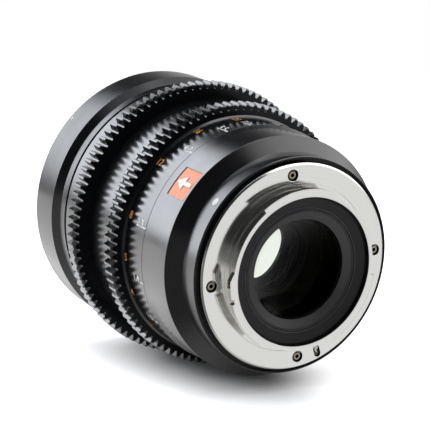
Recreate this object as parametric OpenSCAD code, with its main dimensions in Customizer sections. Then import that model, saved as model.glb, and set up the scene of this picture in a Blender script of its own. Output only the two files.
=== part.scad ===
// Cinema prime lens with a geared iris ring, a geared focus ring and a three-lug bayonet.
// The optical axis lies along Y, the front faces +Y, and the origin is the centre of the mount flange.

/* [Front ring] */
// Nominal diameter of the filter thread
filter_d = 77; // [72:0.5:82]
// Wall outside the filter thread, up to the clamp-on diameter
front_wall = 1.5; // [1.2:0.1:3]
// Length of the full-width front band
front_len = 11.6; // [9:0.1:20]
// Depth of the filter thread
filter_len = 6; // [3:0.5:7]
// Step from the front band down to the lip behind it
lip_step = 1.6; // [0.8:0.1:2]
// Length of the lip
lip_len = 3.15; // [2:0.05:6]
// Length of the bevel between band and lip
bevel_len = 2.8; // [1:0.1:5]
// How far the front ring reaches over the main barrel
front_socket = 4.25; // [3:0.25:6]

/* [Gears] */
// Tooth module of both gears
gear_module = 0.8; // [0.6:0.05:1]
// Width of the iris gear
iris_gear_w = 4.8; // [4:0.1:8]
// Width of the focus gear
focus_gear_w = 5.2; // [4:0.1:8]
// Wall of the iris ring under its teeth
iris_gear_wall = 4.75; // [3:0.05:6]
// Wall of the focus ring under its teeth
focus_gear_wall = 4.4; // [3.5:0.05:6]
// Bevel at both ends of the teeth
tooth_bevel = 0.5; // [0.2:0.05:1]

/* [Main barrel] */
// Bore of the main barrel
bore_d = 60.8; // [60:0.2:66]
// Wall under the focus ring
focus_wall = 2.15; // [1.6:0.05:3]
// Wall under the iris ring
iris_wall = 4.6; // [3:0.1:6]
// Wall of the shoulder between the two rings
shoulder_wall = 6.2; // [5:0.1:8]
// Length of the shoulder between the two rings
shoulder_len = 11.95; // [8:0.05:20]
// Gap between a turning ring and its neighbours
ring_gap = 0.35; // [0.25:0.05:0.6]

/* [Iris ring] */
// Wall of the smooth band
iris_band_wall = 3.15; // [2:0.05:5]
// Length of the smooth band
iris_band_len = 8.3; // [6:0.1:14]
// Turn of the iris ring from open to closed, in degrees
iris_throw = 75; // [60:1:76]

/* [Focus ring] */
// Wall of the distance scale
scale_wall = 2.3; // [2:0.05:4]
// Length of the distance scale
scale_len = 11.17; // [10:0.01:18]
// Length of the smooth nose in front of the gear
nose_len = 1.35; // [1:0.05:4]
// Bevel at the foot of the gear
foot_bevel = 0.55; // [0.3:0.05:0.8]
// Turn of the focus ring from end to end, in degrees
focus_throw = 270; // [180:5:280]
// Travel of the focus group from end to end
focus_travel = 7.5; // [7:0.1:9]

/* [Rear barrel] */
// Wall of the rear barrel
rear_wall = 1.75; // [1.4:0.05:3]
// Length of the rear barrel
rear_len = 11.9; // [10:0.1:18]
// How far the main barrel reaches into the rear barrel
socket_len = 7.9; // [5:0.1:9]
// Length of the taper behind the rear barrel
taper_len = 3.25; // [2:0.05:6]
// Length of the band that carries the mounting dot
band_len = 6.16; // [5:0.02:9]
// Side of the square plate on the rear barrel
plate_side = 9; // [6:0.1:9.5]
// Thickness of the plate
plate_t = 0.6; // [0.4:0.05:0.9]
// How far the plate sits behind the middle of the rear barrel
plate_back = 0.6; // [0:0.1:1]

/* [Mount] */
// Diameter of the mount flange
flange_d = 57.8; // [56.4:0.2:62]
// Thickness of the mount flange
flange_t = 2.5; // [2:0.1:3.5]
// How far the flange stands out behind the rim of the housing
flange_proud = 1.27; // [0.8:0.01:1.8]
// Groove between the flange and the rim
flange_groove = 1; // [0.5:0.1:1.5]
// Rim around the groove
rim_wall = 0.56; // [0.4:0.02:1.2]
// Bevel of the flange's edge
flange_bevel = 0.45; // [0.2:0.05:0.8]
// Bore of the bayonet tube
tube_bore_d = 41.5; // [38:0.1:43]
// Wall of the bayonet tube
tube_wall = 1.15; // [0.9:0.05:1.5]
// Length of the bayonet tube behind the flange
tube_len = 4.86; // [4:0.02:6]
// Height of a bayonet lug above the tube
lug_h = 1.1; // [0.8:0.05:1.4]
// Thickness of a bayonet lug along the axis
lug_t = 1.6; // [1.2:0.05:2]
// Angle that a bayonet lug covers
lug_span = 55; // [40:1:60]
// Circle of the four mount screws
screw_pcd = 51.7; // [49:0.1:53]
// Head diameter of a mount screw
screw_head_d = 2.4; // [2:0.1:3.8]
// Shank diameter of a mount screw
screw_d = 1.6; // [1.2:0.1:2.2]
// Length of a mount screw's shank below its head
screw_len = 6; // [4:0.5:7]
// Width of the locking slot
lock_w = 2; // [1.5:0.1:3]
// Length of the locking slot along the radius
lock_len = 3.6; // [2.5:0.1:4.2]

/* [Iris] */
// Diameter of the open aperture
stop_d = 30.8; // [28:0.2:32]
// Circle of the blade pivots
pivot_pcd = 48; // [46:0.2:49]
// Thickness of a blade
blade_t = 0.2; // [0.15:0.01:0.25]
// Gap between neighbouring blades
blade_gap = 0.15; // [0.1:0.01:0.2]
// Diameter of a blade's two pins
blade_pin_d = 1; // [0.8:0.05:1.1]
// Distance from a blade's pivot to its drive pin
lever = 7; // [6.5:0.1:7.5]
// Turn of a blade from open to closed, in degrees
blade_swing = 34; // [30:0.5:35]
// Thickness of the iris cam ring
cam_t = 2; // [1.5:0.1:2.5]
// Diameter of the key that joins the iris ring to the cam ring
key_d = 1.8; // [1.4:0.1:2]

/* [Optics] */
// Diameter of the front element
front_glass_d = 51; // [46:0.5:52]
// Diameter of the second element
second_glass_d = 44; // [40:0.5:46]
// Diameter of the third element
third_glass_d = 38; // [34:0.5:40]
// Diameter of the elements in the focus group
focus_glass_d = 36; // [32:0.5:40]
// Diameter of the inner rear element
inner_glass_d = 31; // [28:0.5:33]
// Diameter of the rear element
rear_glass_d = 29.6; // [27:0.2:31]
// Length of the focus group's carrier
carrier_len = 20; // [16:0.5:22]

/* [Fits] */
// Radial clearance of a turning or sliding fit
run_fit = 0.05; // [0.03:0.01:0.08]
// Radial clearance of a seated piece
seat_fit = 0.02; // [0.01:0.01:0.04]
// Clearance around a piece that travels in a slot or groove
slot_fit = 0.12; // [0.08:0.01:0.2]

/* [Hidden] */
$fn = 160;
// Extra length of a cutting tool past the face that it cuts
over = 1;
// How far the lens is rolled about its axis as it lies, so that the index is up and to the left
lie_roll = -47.5;
// Direction of the index line about the axis, before the roll
index_a = 90;

// Radii from the bore outwards
bore_r = bore_d / 2;
focus_land_r = bore_r + focus_wall;
focus_bore_r = focus_land_r + run_fit;
scale_r = focus_bore_r + scale_wall;
iris_land_r = bore_r + iris_wall;
iris_bore_r = iris_land_r + run_fit;
iris_band_r = iris_bore_r + iris_band_wall;
shoulder_r = bore_r + shoulder_wall;
rear_r = focus_land_r + seat_fit + rear_wall;
filter_r = filter_d / 2;
front_r = filter_r + front_wall;
lip_r = front_r - lip_step;
flange_r = flange_d / 2;
groove_r = flange_r + flange_groove;
band_r = groove_r + rim_wall;
tube_bore_r = tube_bore_d / 2;
tube_r = tube_bore_r + tube_wall;
lug_r = tube_r + lug_h;

// Places along the axis from the flange forwards
rim_z = flange_proud;
band_z = rim_z + band_len;
taper_z = band_z + taper_len;
rear_z = taper_z + rear_len;
focus_z0 = rear_z + ring_gap;
focus_gear_z = focus_z0 + scale_len;
nose_z = focus_gear_z + focus_gear_w;
focus_z1 = nose_z + nose_len;
shoulder_z0 = focus_z1 + ring_gap;
shoulder_z1 = shoulder_z0 + shoulder_len;
iris_z0 = shoulder_z1 + ring_gap;
iris_band_z = iris_z0 + iris_gear_w;
iris_z1 = iris_band_z + iris_band_len;
lip_z = iris_z1 + ring_gap;
bevel_z = lip_z + lip_len;
front_band_z = bevel_z + bevel_len;
front_z = front_band_z + front_len;
barrel_z0 = rear_z - socket_len;
barrel_z1 = lip_z + front_socket;
thread_z = front_z - filter_len;

// Gear sizes: addendum, dedendum and flank slope of a standard tooth
addendum = gear_module;
dedendum = 1.25 * gear_module;
flank_a = 20;
iris_teeth = round(2 * (iris_bore_r + iris_gear_wall + dedendum) / gear_module);
focus_teeth = round(2 * (focus_bore_r + focus_gear_wall + dedendum) / gear_module);

// Iris: the cam ring lies behind the blades, and the blades pivot in the housing's front plate
blade_count = 9;
blade_step = 360 / blade_count;
blade_pitch = blade_t + blade_gap;
blade_arc = 105;
blade_back_a = 4;
stop_r = stop_d / 2;
pivot_r = pivot_pcd / 2;
pin_r = blade_pin_d / 2;
pin_wall = 0.4;
blade_clear = 0.3;
blade_edge = 1.2;
blade_in_r = stop_r + blade_clear;
blade_out_r = pivot_r - pin_r - blade_edge;
blade_tab_r = pin_r + 3.5 * pin_wall;
arm_r = pin_r + pin_wall;
lever_open_a = 90 - blade_swing / 2;
drive_pin_open = [pivot_r + lever * cos(lever_open_a), lever * sin(lever_open_a)];
drive_pin_shut = [pivot_r - lever * cos(lever_open_a), lever * sin(lever_open_a)];
drive_pin_a = atan2(drive_pin_open.y, drive_pin_open.x);
cam_edge_out = 0.3;
cam_edge_in = 1.6;
cam_r = norm(drive_pin_open) + arm_r + cam_edge_out;
cam_in_r = norm(drive_pin_shut) - arm_r - cam_edge_in;
cam_play = 0.1;
key_r = key_d / 2;
key_z = iris_z0 + iris_gear_w / 2;
key_ahead_a = 6;
key_blade = 4;
key_a = drive_pin_a + key_ahead_a + key_blade * blade_step;
key_in = 1.2;
key_out = 2.8;
cam_z0 = key_z - cam_t / 2;
cam_z1 = cam_z0 + cam_t;
housing_in_r = cam_r + run_fit;
blade_z0 = cam_z1 + blade_gap;
iris_plate_z = blade_z0 + blade_count * blade_pitch;
iris_plate_t = 1.5;
iris_front_z = iris_plate_z + iris_plate_t;
retainer_t = 1.3;
retainer_w = 3.6;
retainer_z = cam_z0 - cam_play - retainer_t;
ledge_t = 1.5;
ledge_w = 1.2;
ledge_r = bore_r - ledge_w;

// Focus: pins on the carrier run in straight slots of the barrel and in helical grooves of the ring
follower_count = 3;
follower_r = 1;
follower_a = 30;
follower_in = 3;
follower_z = (focus_z0 + focus_z1) / 2;
groove_depth = 1.25;
groove_room = 0.2;
groove_step_a = 6;
focus_lead = focus_travel * 360 / focus_throw;
carrier_r = bore_r - run_fit;
carrier_wall = 1.75;
carrier_web = 4.4;
carrier_land = 4;
carrier_relief = 0.35;
carrier_z0 = follower_z - carrier_len / 2;
carrier_z1 = carrier_z0 + carrier_len;

// Mount details: angles are measured about the axis from the X direction before the roll
lug_angles = [131, 22.5, -94.5];
lug_lead = 7;
lug_root = 0.1;
lug_notch_turn = 13;
lug_notch_a = lug_angles[1] + lug_notch_turn;
lug_notch_w = 1.4;
lug_notch_part = 0.65;
lug_notch_depth = lug_notch_part * lug_h;
tube_mid_r = tube_r - tube_wall / 2;
foot_w = 1.6;
foot_r = tube_r + foot_w;
foot_depth = 0.25;
lock_a = -58.8;
lock_edge = 0.7;
lock_in_r = flange_r - lock_edge - lock_len;
lock_depth = 1.9;
screw_count = 4;
screw_a = 45;
screw_head_t = 1.15;
screw_sink = 0.3;
screw_room = 0.28;
seat_bevel = 0.2;
socket_d = 1.25;
socket_depth = 0.7;
socket_sides = 6;
head_bevel = 0.2;
spigot_len = 2.5;
spigot_z = taper_z + spigot_len;
edge_break = 0.2;
gap_break = 0.07;
plate_sink = 0.2;

// Optics: seats along the axis, edge thicknesses and curvatures, positive where a face bulges
glass_rim = 1;
ball_sides = 480;
lock_t_glass = 1.2;
spanner_w = 1.5;
spanner_depth = 0.6;
cell_wall = 1.5;
third_air = 0.9;
third_z = iris_front_z + third_air;
third_edge = 2;
second_air = 4.6;
second_z = third_z + second_air;
second_edge = 2.6;
first_air = 5.8;
first_z = second_z + first_air;
first_edge = 2.2;
front_glass_r = front_glass_d / 2;
second_glass_r = second_glass_d / 2;
third_glass_r = third_glass_d / 2;
front_lock_step = 0.8;
front_lock_r = front_glass_r + front_lock_step;
neck_r = front_lock_r + cell_wall;
neck_z = first_z + first_edge + lock_t_glass + edge_break;
front_flange_inset = 1.6;
front_flange_r = iris_land_r - front_flange_inset;
front_flange_t = 1.4;
shelf_t = 1.5;
shelf_z = barrel_z1 + shelf_t;
thread_seat = 2.1;
trim_r = filter_r - thread_seat;
trim_recess = 0.4;
trim_z = thread_z - trim_recess;
trim_steps = 4;
trim_drop = 0.35;
focus_glass_r = focus_glass_d / 2;
holder_r = focus_glass_r + cell_wall;
holder_lip = 0.9;
holder_seat = 2;
focus_rear_z = carrier_z0 + holder_seat;
focus_rear_edge = 3;
focus_air = 4.5;
focus_front_z = focus_rear_z + focus_rear_edge + focus_air;
focus_front_edge = 6;
rear_glass_r = rear_glass_d / 2;
inner_glass_r = inner_glass_d / 2;
rear_hole_lip = 0.75;
rear_hole_r = rear_glass_r - rear_hole_lip;
rear_cell_z0 = -1.6;
rear_seat_t = 0.8;
rear_glass_z = rear_cell_z0 + rear_seat_t;
rear_edge = 3.2;
rear_air = 2.8;
inner_glass_z = rear_glass_z + rear_edge + rear_air;
inner_edge = 3;
rear_cell_wall = 3.5;
rear_cell_r = max(inner_glass_r, rear_glass_r) + rear_cell_wall;
rear_nose_r = rear_glass_r + cell_wall;
rear_flange_t = 1.5;
rear_flange_w = 5;
rear_cell_z1 = spigot_z + rear_flange_t;
baffle_len = 2;
baffle_z = rear_cell_z0 - baffle_len;
baffle_lip = 0.2;
baffle_cone_w = 2.25;
baffle_cone_h = 1.1;
baffle_cone_r = rear_hole_r + baffle_cone_w;
baffle_cone_z = rear_cell_z0 - baffle_lip - baffle_cone_h;

// Front and rear curve of every element, 0 for a flat face
front_curves = [98, 0];
second_curves = [90, -150];
third_curves = [70, -80];
focus_front_curves = [0, 120];
focus_rear_curves = [135, 76];
inner_curves = [-95, -165];
rear_curves = [76, -30];

// A point at radius r and angle a
function polar(r, a) = [r * cos(a), r * sin(a)];

// The angle that a length covers on a circle of radius r
function arc_a(length, r) = length / r * 180 / PI;

// Lays a piece down with its axis along Y, rolled to where the index lies
module lay() {
  rotate([90, 0, 180])
    rotate(lie_roll)
      children();
}

// A piece turned about the axis from its half profile
module turned(profile) {
  rotate_extrude()
    polygon(profile);
}

// A plain turned ring
module ring(ri, ro, z0, z1) {
  turned([[ri, z0], [ro, z0], [ro, z1], [ri, z1]]);
}

// A part of a turned ring, from angle a0 over the angle span
module ring_part(ri, ro, z0, z1, a0, span) {
  rotate(a0)
    rotate_extrude(angle = span)
      polygon([[ri, z0], [ro, z0], [ro, z1], [ri, z1]]);
}

// A threaded lock ring on a seat at z, with two slots for a spanner in its front face
module lock_ring(ri, ro, z) {
  difference() {
    ring(ri, ro, z, z + lock_t_glass);
    for (side = [0, 180]) {
      rotate(side)
        translate([ri - over, -spanner_w / 2, z + lock_t_glass - spanner_depth])
          cube([ro - ri + 2 * over, spanner_w, spanner_depth + over]);
    }
  }
}

// A round pin or hole along the radius at angle a and height z
module radial_pin(r, from_r, to_r, a, z) {
  rotate(a)
    translate([from_r, 0, z])
      rotate([0, 90, 0])
        cylinder(r = r, h = to_r - from_r);
}

// A toothed disc with straight flanks and bevelled ends, whose first tooth points along first_a
module gear(teeth, z, width, first_a) {
  root_r = gear_module * teeth / 2 - dedendum;
  tip_r = gear_module * teeth / 2 + addendum;
  half_w = PI * gear_module / 4;
  root_a = arc_a(half_w + dedendum * tan(flank_a), root_r);
  tip_a = arc_a(half_w - addendum * tan(flank_a), tip_r);
  outline = [for (k = [0 : teeth - 1])
             let (a = first_a + k * 360 / teeth)
             each [polar(root_r, a - root_a), polar(tip_r, a - tip_a),
                   polar(tip_r, a + tip_a), polar(root_r, a + root_a)]];
  intersection() {
    translate([0, 0, z])
      linear_extrude(width)
        polygon(outline);
    turned([[0, z], [tip_r - tooth_bevel, z], [tip_r, z + tooth_bevel],
            [tip_r, z + width - tooth_bevel], [tip_r - tooth_bevel, z + width], [0, z + width]]);
  }
}

// The ball whose surface meets the plane z at radius r, with its centre on the side away from side
module glass_ball(curve, r, z, side) {
  translate([0, 0, z - side * sqrt(curve * curve - r * r)])
    sphere(r = curve, $fn = ball_sides);
}

// The bulge of a convex face on the plane z, rooted in the glass behind it
module bulge(curve, r, z, side) {
  height = curve - sqrt(curve * curve - r * r) + over;
  intersection() {
    glass_ball(curve, r, z, side);
    translate([0, 0, side > 0 ? z - over : z - height])
      cylinder(r = r, h = height + over);
  }
}

// A lens element on a seat at z, with a flat rim: a positive curve bulges, a negative one is hollow
module element(r, z, edge, curves) {
  front_curve = curves[0];
  rear_curve = curves[1];
  difference() {
    union() {
      translate([0, 0, z])
        cylinder(r = r, h = edge);
      if (front_curve > 0) {
        bulge(front_curve, r - glass_rim, z + edge, 1);
      }
      if (rear_curve > 0) {
        bulge(rear_curve, r - glass_rim, z, -1);
      }
    }
    if (front_curve < 0) {
      glass_ball(-front_curve, r - glass_rim, z + edge, -1);
    }
    if (rear_curve < 0) {
      glass_ball(-rear_curve, r - glass_rim, z, 1);
    }
  }
}

// The arc that the iris key travels, cut through a wall
module key_slot(ri, ro) {
  half_a = arc_a(key_r + slot_fit, cam_r);
  half_h = key_r + slot_fit;
  ring_part(ri, ro, key_z - half_h, key_z + half_h, key_a - half_a, iris_throw + 2 * half_a);
}

// Front ring with its clamp-on band, filter thread seat, bevel and lip
module front_ring() {
  color("#17181a") lay()
    turned([[iris_land_r + seat_fit, lip_z], [lip_r - edge_break, lip_z],
            [lip_r, lip_z + edge_break], [lip_r, bevel_z],
            [front_r, front_band_z], [front_r, front_z - edge_break],
            [front_r - edge_break, front_z], [filter_r, front_z], [filter_r, thread_z],
            [trim_r, thread_z], [trim_r, shelf_z], [front_flange_r + seat_fit, shelf_z],
            [front_flange_r + seat_fit, barrel_z1], [iris_land_r + seat_fit, barrel_z1]]);
}

// Plain stepped ring around the front element
module front_trim_ring() {
  in_r = neck_r + seat_fit;
  out_r = trim_r - seat_fit;
  step_w = (out_r - in_r) / (trim_steps + 1);
  stair = [for (k = [0 : trim_steps])
           each [[out_r - k * step_w, trim_z - k * trim_drop],
                 [out_r - (k + 1) * step_w, trim_z - k * trim_drop]]];
  color("#101112") lay()
    turned(concat([[in_r, shelf_z], [out_r, shelf_z]], stair));
}

// Cell that holds the three front elements
module front_cell() {
  color("#1b1c1e") lay()
    turned([[third_glass_r - glass_rim, iris_front_z], [bore_r - seat_fit, iris_front_z],
            [bore_r - seat_fit, barrel_z1], [front_flange_r, barrel_z1],
            [front_flange_r, barrel_z1 + front_flange_t], [neck_r, barrel_z1 + front_flange_t],
            [neck_r, neck_z], [front_lock_r + seat_fit, neck_z],
            [front_lock_r + seat_fit, first_z + first_edge],
            [front_glass_r + seat_fit, first_z + first_edge], [front_glass_r + seat_fit, first_z],
            [second_glass_r + seat_fit, first_z], [second_glass_r + seat_fit, second_z],
            [third_glass_r + seat_fit, second_z], [third_glass_r + seat_fit, third_z],
            [third_glass_r - glass_rim, third_z]]);
}

// Threaded ring that holds the front element
module front_lock_ring() {
  color("#0e0f10") lay()
    lock_ring(front_glass_r - glass_rim, front_lock_r, first_z + first_edge);
}

// Front element
module front_element() {
  color([0.5, 0.65, 0.6, 0.4]) lay()
    element(front_glass_r, first_z, first_edge, front_curves);
}

// Second element
module second_element() {
  color([0.5, 0.65, 0.6, 0.4]) lay()
    element(second_glass_r, second_z, second_edge, second_curves);
}

// Third element, in front of the iris
module third_element() {
  color([0.5, 0.65, 0.6, 0.4]) lay()
    element(third_glass_r, third_z, third_edge, third_curves);
}

// Spacer between the first two elements
module front_spacer() {
  color("#1b1c1e") lay()
    ring(second_glass_r - glass_rim, second_glass_r, second_z + second_edge, first_z);
}

// Main barrel: a tube with a shoulder between the two rings, three straight slots and the key's arc
module main_barrel() {
  slot_r = follower_r + run_fit;
  slot_half = focus_travel / 2 + slot_fit;
  color("#17181a") lay()
    difference() {
      turned([[bore_r, barrel_z0], [focus_land_r, barrel_z0], [focus_land_r, shoulder_z0],
              [shoulder_r - edge_break, shoulder_z0], [shoulder_r, shoulder_z0 + edge_break],
              [shoulder_r, shoulder_z1 - edge_break], [shoulder_r - edge_break, shoulder_z1],
              [iris_land_r, shoulder_z1],
              [iris_land_r, barrel_z1], [bore_r, barrel_z1], [bore_r, retainer_z],
              [ledge_r, retainer_z], [ledge_r, retainer_z - ledge_t],
              [bore_r, retainer_z - ledge_t]]);
      key_slot(bore_r - over, iris_land_r + over);
      for (k = [0 : follower_count - 1]) {
        a = follower_a + k * 360 / follower_count;
        for (end = [-1, 1]) {
          radial_pin(slot_r, bore_r - over, focus_land_r + over, a, follower_z + end * slot_half);
        }
        rotate(a)
          translate([bore_r - over, -slot_r, follower_z - slot_half])
            cube([focus_wall + 2 * over, 2 * slot_r, 2 * slot_half]);
      }
    }
}

// Iris housing: a cup whose front plate has the stop opening and the blade pivots
module iris_housing() {
  color("#202123") lay()
    difference() {
      turned([[housing_in_r, retainer_z], [bore_r - seat_fit, retainer_z],
              [bore_r - seat_fit, iris_front_z], [stop_r, iris_front_z], [stop_r, iris_plate_z],
              [housing_in_r, iris_plate_z]]);
      key_slot(housing_in_r - over, bore_r + over);
      for (k = [1 : blade_count]) {
        rotate(k * blade_step)
          translate([pivot_r, 0, iris_plate_z - over])
            cylinder(r = pin_r + run_fit, h = iris_plate_t + 2 * over);
      }
    }
}

// Ring that keeps the cam ring in its housing
module iris_retainer() {
  color("#2a2b2d") lay()
    ring(housing_in_r - retainer_w, housing_in_r - seat_fit, retainer_z, retainer_z + retainer_t);
}

// Geared iris ring with a smooth band in front of the teeth
module iris_ring() {
  color("#17181a") lay()
    difference() {
      union() {
        turned([[0, iris_z0], [iris_band_r, iris_z0], [iris_band_r, iris_z1 - edge_break],
                [iris_band_r - edge_break, iris_z1], [0, iris_z1]]);
        gear(iris_teeth, iris_z0, iris_gear_w, index_a);
      }
      translate([0, 0, iris_z0 - over])
        cylinder(r = iris_bore_r, h = iris_z1 - iris_z0 + 2 * over);
      radial_pin(key_r + seat_fit, iris_bore_r - over, iris_bore_r + key_out + seat_fit, key_a, key_z);
    }
}

// Key that joins the iris ring to the cam ring through the barrel wall
module iris_key() {
  color("#b08d4c") lay()
    radial_pin(key_r, cam_r - key_in, iris_bore_r + key_out, key_a, key_z);
}

// Centre of a drive pin as the cam ring sees it, at a share of the full travel
function cam_point(share) =
  let (a = lever_open_a + share * blade_swing,
       turn = -share * iris_throw,
       p = [pivot_r + lever * cos(a), lever * sin(a)])
  [p.x * cos(turn) - p.y * sin(turn), p.x * sin(turn) + p.y * cos(turn)];

// One side of a cam slot at a share of the full travel
function cam_side(share, offset) =
  let (probe = 0.001,
       d = cam_point(share + probe) - cam_point(share - probe),
       n = [-d.y, d.x] / norm(d))
  cam_point(share) + offset * n;

// Cam ring: one curved slot for each blade, cut so that every blade turns in step with the ring
module iris_cam_ring() {
  half_w = pin_r + slot_fit / 2;
  spare = 0.03;
  slot_steps = 24;
  shares = [for (k = [0 : slot_steps]) -spare + k * (1 + 2 * spare) / slot_steps];
  slot = concat([for (s = shares) cam_side(s, half_w)],
                [for (k = [slot_steps : -1 : 0]) cam_side(shares[k], -half_w)]);
  notch_w = 2 * (key_r + seat_fit);
  color("#26272a") lay()
    difference() {
      ring(cam_in_r, cam_r, cam_z0, cam_z1);
      for (k = [1 : blade_count]) {
        rotate(k * blade_step)
          translate([0, 0, cam_z0 - over])
            linear_extrude(cam_t + 2 * over)
              polygon(slot);
      }
      rotate(key_a)
        translate([cam_r - key_in - seat_fit, -notch_w / 2, cam_z0 - over])
          cube([key_in + over, notch_w, cam_t + 2 * over]);
    }
}

// One iris blade in its own plane, with a pivot pin to the front and a drive pin to the rear
module iris_blade(k) {
  z = blade_z0 + (k - 1) * blade_pitch;
  color("#26272a") lay()
    rotate(k * blade_step)
      union() {
        ring_part(blade_in_r, blade_out_r, z, z + blade_t, -blade_back_a, blade_arc + blade_back_a);
        translate([blade_out_r - blade_tab_r, -blade_tab_r / 2, z])
          cube([pivot_r - blade_out_r + blade_tab_r, blade_tab_r, blade_t]);
        translate([pivot_r, 0, z]) {
          cylinder(r = blade_tab_r, h = blade_t);
          rotate(lever_open_a)
            translate([0, -arm_r, 0])
              cube([lever, 2 * arm_r, blade_t]);
          cylinder(r = pin_r, h = iris_front_z - edge_break - z);
        }
        translate([drive_pin_open.x, drive_pin_open.y, 0]) {
          translate([0, 0, z])
            cylinder(r = arm_r, h = blade_t);
          translate([0, 0, cam_z0 + edge_break])
            cylinder(r = pin_r, h = z + blade_t - cam_z0 - edge_break);
        }
      }
}

module iris_blade_1() { iris_blade(1); }
module iris_blade_2() { iris_blade(2); }
module iris_blade_3() { iris_blade(3); }
module iris_blade_4() { iris_blade(4); }
module iris_blade_5() { iris_blade(5); }
module iris_blade_6() { iris_blade(6); }
module iris_blade_7() { iris_blade(7); }
module iris_blade_8() { iris_blade(8); }
module iris_blade_9() { iris_blade(9); }

// Helical groove of one cam follower, swept as a square section through the ring's bore
module cam_groove(a0) {
  half_w = follower_r + slot_fit;
  end_a = focus_throw / 2 + arc_a(half_w, focus_bore_r);
  steps = ceil(2 * end_a / groove_step_a);
  section = [[focus_bore_r - over, -half_w], [focus_bore_r + groove_depth, -half_w],
             [focus_bore_r + groove_depth, half_w], [focus_bore_r - over, half_w]];
  points = [for (k = [0 : steps])
            let (turn = -end_a + k * 2 * end_a / steps,
                 a = a0 - turn,
                 z = follower_z + focus_lead * turn / 360)
            for (c = section) [c.x * cos(a), c.x * sin(a), z + c.y]];
  sides = [for (k = [0 : steps - 1])
           for (c = [0 : 3])
           let (p = 4 * k + c,
                q = 4 * k + (c + 1) % 4)
           each [[p, q + 4, q], [p, p + 4, q + 4]]];
  last = 4 * steps;
  caps = [[0, 1, 2], [0, 2, 3], [last, last + 2, last + 1], [last, last + 3, last + 2]];
  polyhedron(points, concat(sides, caps));
}

// Geared focus ring with the distance scale behind the teeth and helical grooves in its bore
module focus_ring() {
  color("#17181a") lay()
    difference() {
      union() {
        turned([[0, focus_z0], [scale_r - gap_break, focus_z0], [scale_r, focus_z0 + gap_break],
                [scale_r, focus_gear_z - foot_bevel], [scale_r + foot_bevel, focus_gear_z],
                [shoulder_r, focus_gear_z], [shoulder_r, focus_z1 - edge_break],
                [shoulder_r - edge_break, focus_z1], [0, focus_z1]]);
        gear(focus_teeth, focus_gear_z, focus_gear_w, index_a + 180 / focus_teeth);
      }
      translate([0, 0, focus_z0 - over])
        cylinder(r = focus_bore_r, h = focus_z1 - focus_z0 + 2 * over);
      for (k = [0 : follower_count - 1]) {
        cam_groove(follower_a + k * 360 / follower_count);
      }
    }
}

// Carrier of the focus group: an outer sleeve, a web and an inner glass holder
module focus_carrier() {
  relief_r = carrier_r - carrier_relief;
  sleeve_r = carrier_r - carrier_wall;
  web_z0 = follower_z - carrier_web / 2;
  web_z1 = follower_z + carrier_web / 2;
  color("#3a3b3d") lay()
    difference() {
      turned([[focus_glass_r - glass_rim, carrier_z0 + holder_lip], [holder_r, carrier_z0 + holder_lip],
              [holder_r, web_z0], [sleeve_r, web_z0], [sleeve_r, carrier_z0], [carrier_r, carrier_z0],
              [carrier_r, carrier_z0 + carrier_land], [relief_r, carrier_z0 + carrier_land],
              [relief_r, carrier_z1 - carrier_land], [carrier_r, carrier_z1 - carrier_land],
              [carrier_r, carrier_z1], [sleeve_r, carrier_z1], [sleeve_r, web_z1],
              [holder_r, web_z1], [holder_r, carrier_z1 - holder_lip],
              [focus_glass_r + seat_fit, carrier_z1 - holder_lip],
              [focus_glass_r + seat_fit, focus_rear_z], [focus_glass_r - glass_rim, focus_rear_z]]);
      for (k = [0 : follower_count - 1]) {
        radial_pin(follower_r + seat_fit, carrier_r - follower_in - seat_fit, carrier_r + over,
                   follower_a + k * 360 / follower_count, follower_z);
      }
    }
}

// Cam followers, one for each helical groove
module focus_pins() {
  color("#b08d4c") lay()
    for (k = [0 : follower_count - 1]) {
      radial_pin(follower_r, carrier_r - follower_in, focus_bore_r + groove_depth - groove_room,
                 follower_a + k * 360 / follower_count, follower_z);
    }
}

// Front element of the focus group
module focus_front_element() {
  color([0.5, 0.65, 0.6, 0.4]) lay()
    element(focus_glass_r, focus_front_z, focus_front_edge, focus_front_curves);
}

// Rear element of the focus group
module focus_rear_element() {
  color([0.5, 0.65, 0.6, 0.4]) lay()
    element(focus_glass_r, focus_rear_z, focus_rear_edge, focus_rear_curves);
}

// Spacer between the elements of the focus group
module focus_spacer() {
  color("#1b1c1e") lay()
    ring(focus_glass_r - glass_rim, focus_glass_r, focus_rear_z + focus_rear_edge, focus_front_z);
}

// Threaded ring that holds the focus group's elements
module focus_lock_ring() {
  color("#0e0f10") lay()
    lock_ring(focus_glass_r - glass_rim, focus_glass_r, focus_front_z + focus_front_edge);
}

// Space of the square plate on the rear barrel, with room all round
module plate_space(room) {
  span = arc_a(plate_side + 2 * room, rear_r);
  mid_z = (taper_z + rear_z) / 2 - plate_back;
  face_r = rear_r - plate_sink;
  ring_part(face_r - plate_t, room > 0 ? rear_r + over : face_r, mid_z - plate_side / 2 - room,
            mid_z + plate_side / 2 + room, index_a - span / 2, span);
}

// Rear barrel, seated on the main barrel, with a recess for the plate
module rear_barrel() {
  socket_r = focus_land_r + seat_fit;
  color("#17181a") lay()
    difference() {
      turned([[bore_r, taper_z], [rear_r, taper_z], [rear_r, rear_z - gap_break],
              [rear_r - gap_break, rear_z], [socket_r, rear_z], [socket_r, barrel_z0],
              [bore_r, barrel_z0]]);
      plate_space(seat_fit);
    }
}

// Square plate in line with the index
module index_plate() {
  color("#e2694a") lay()
    plate_space(0);
}

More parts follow.
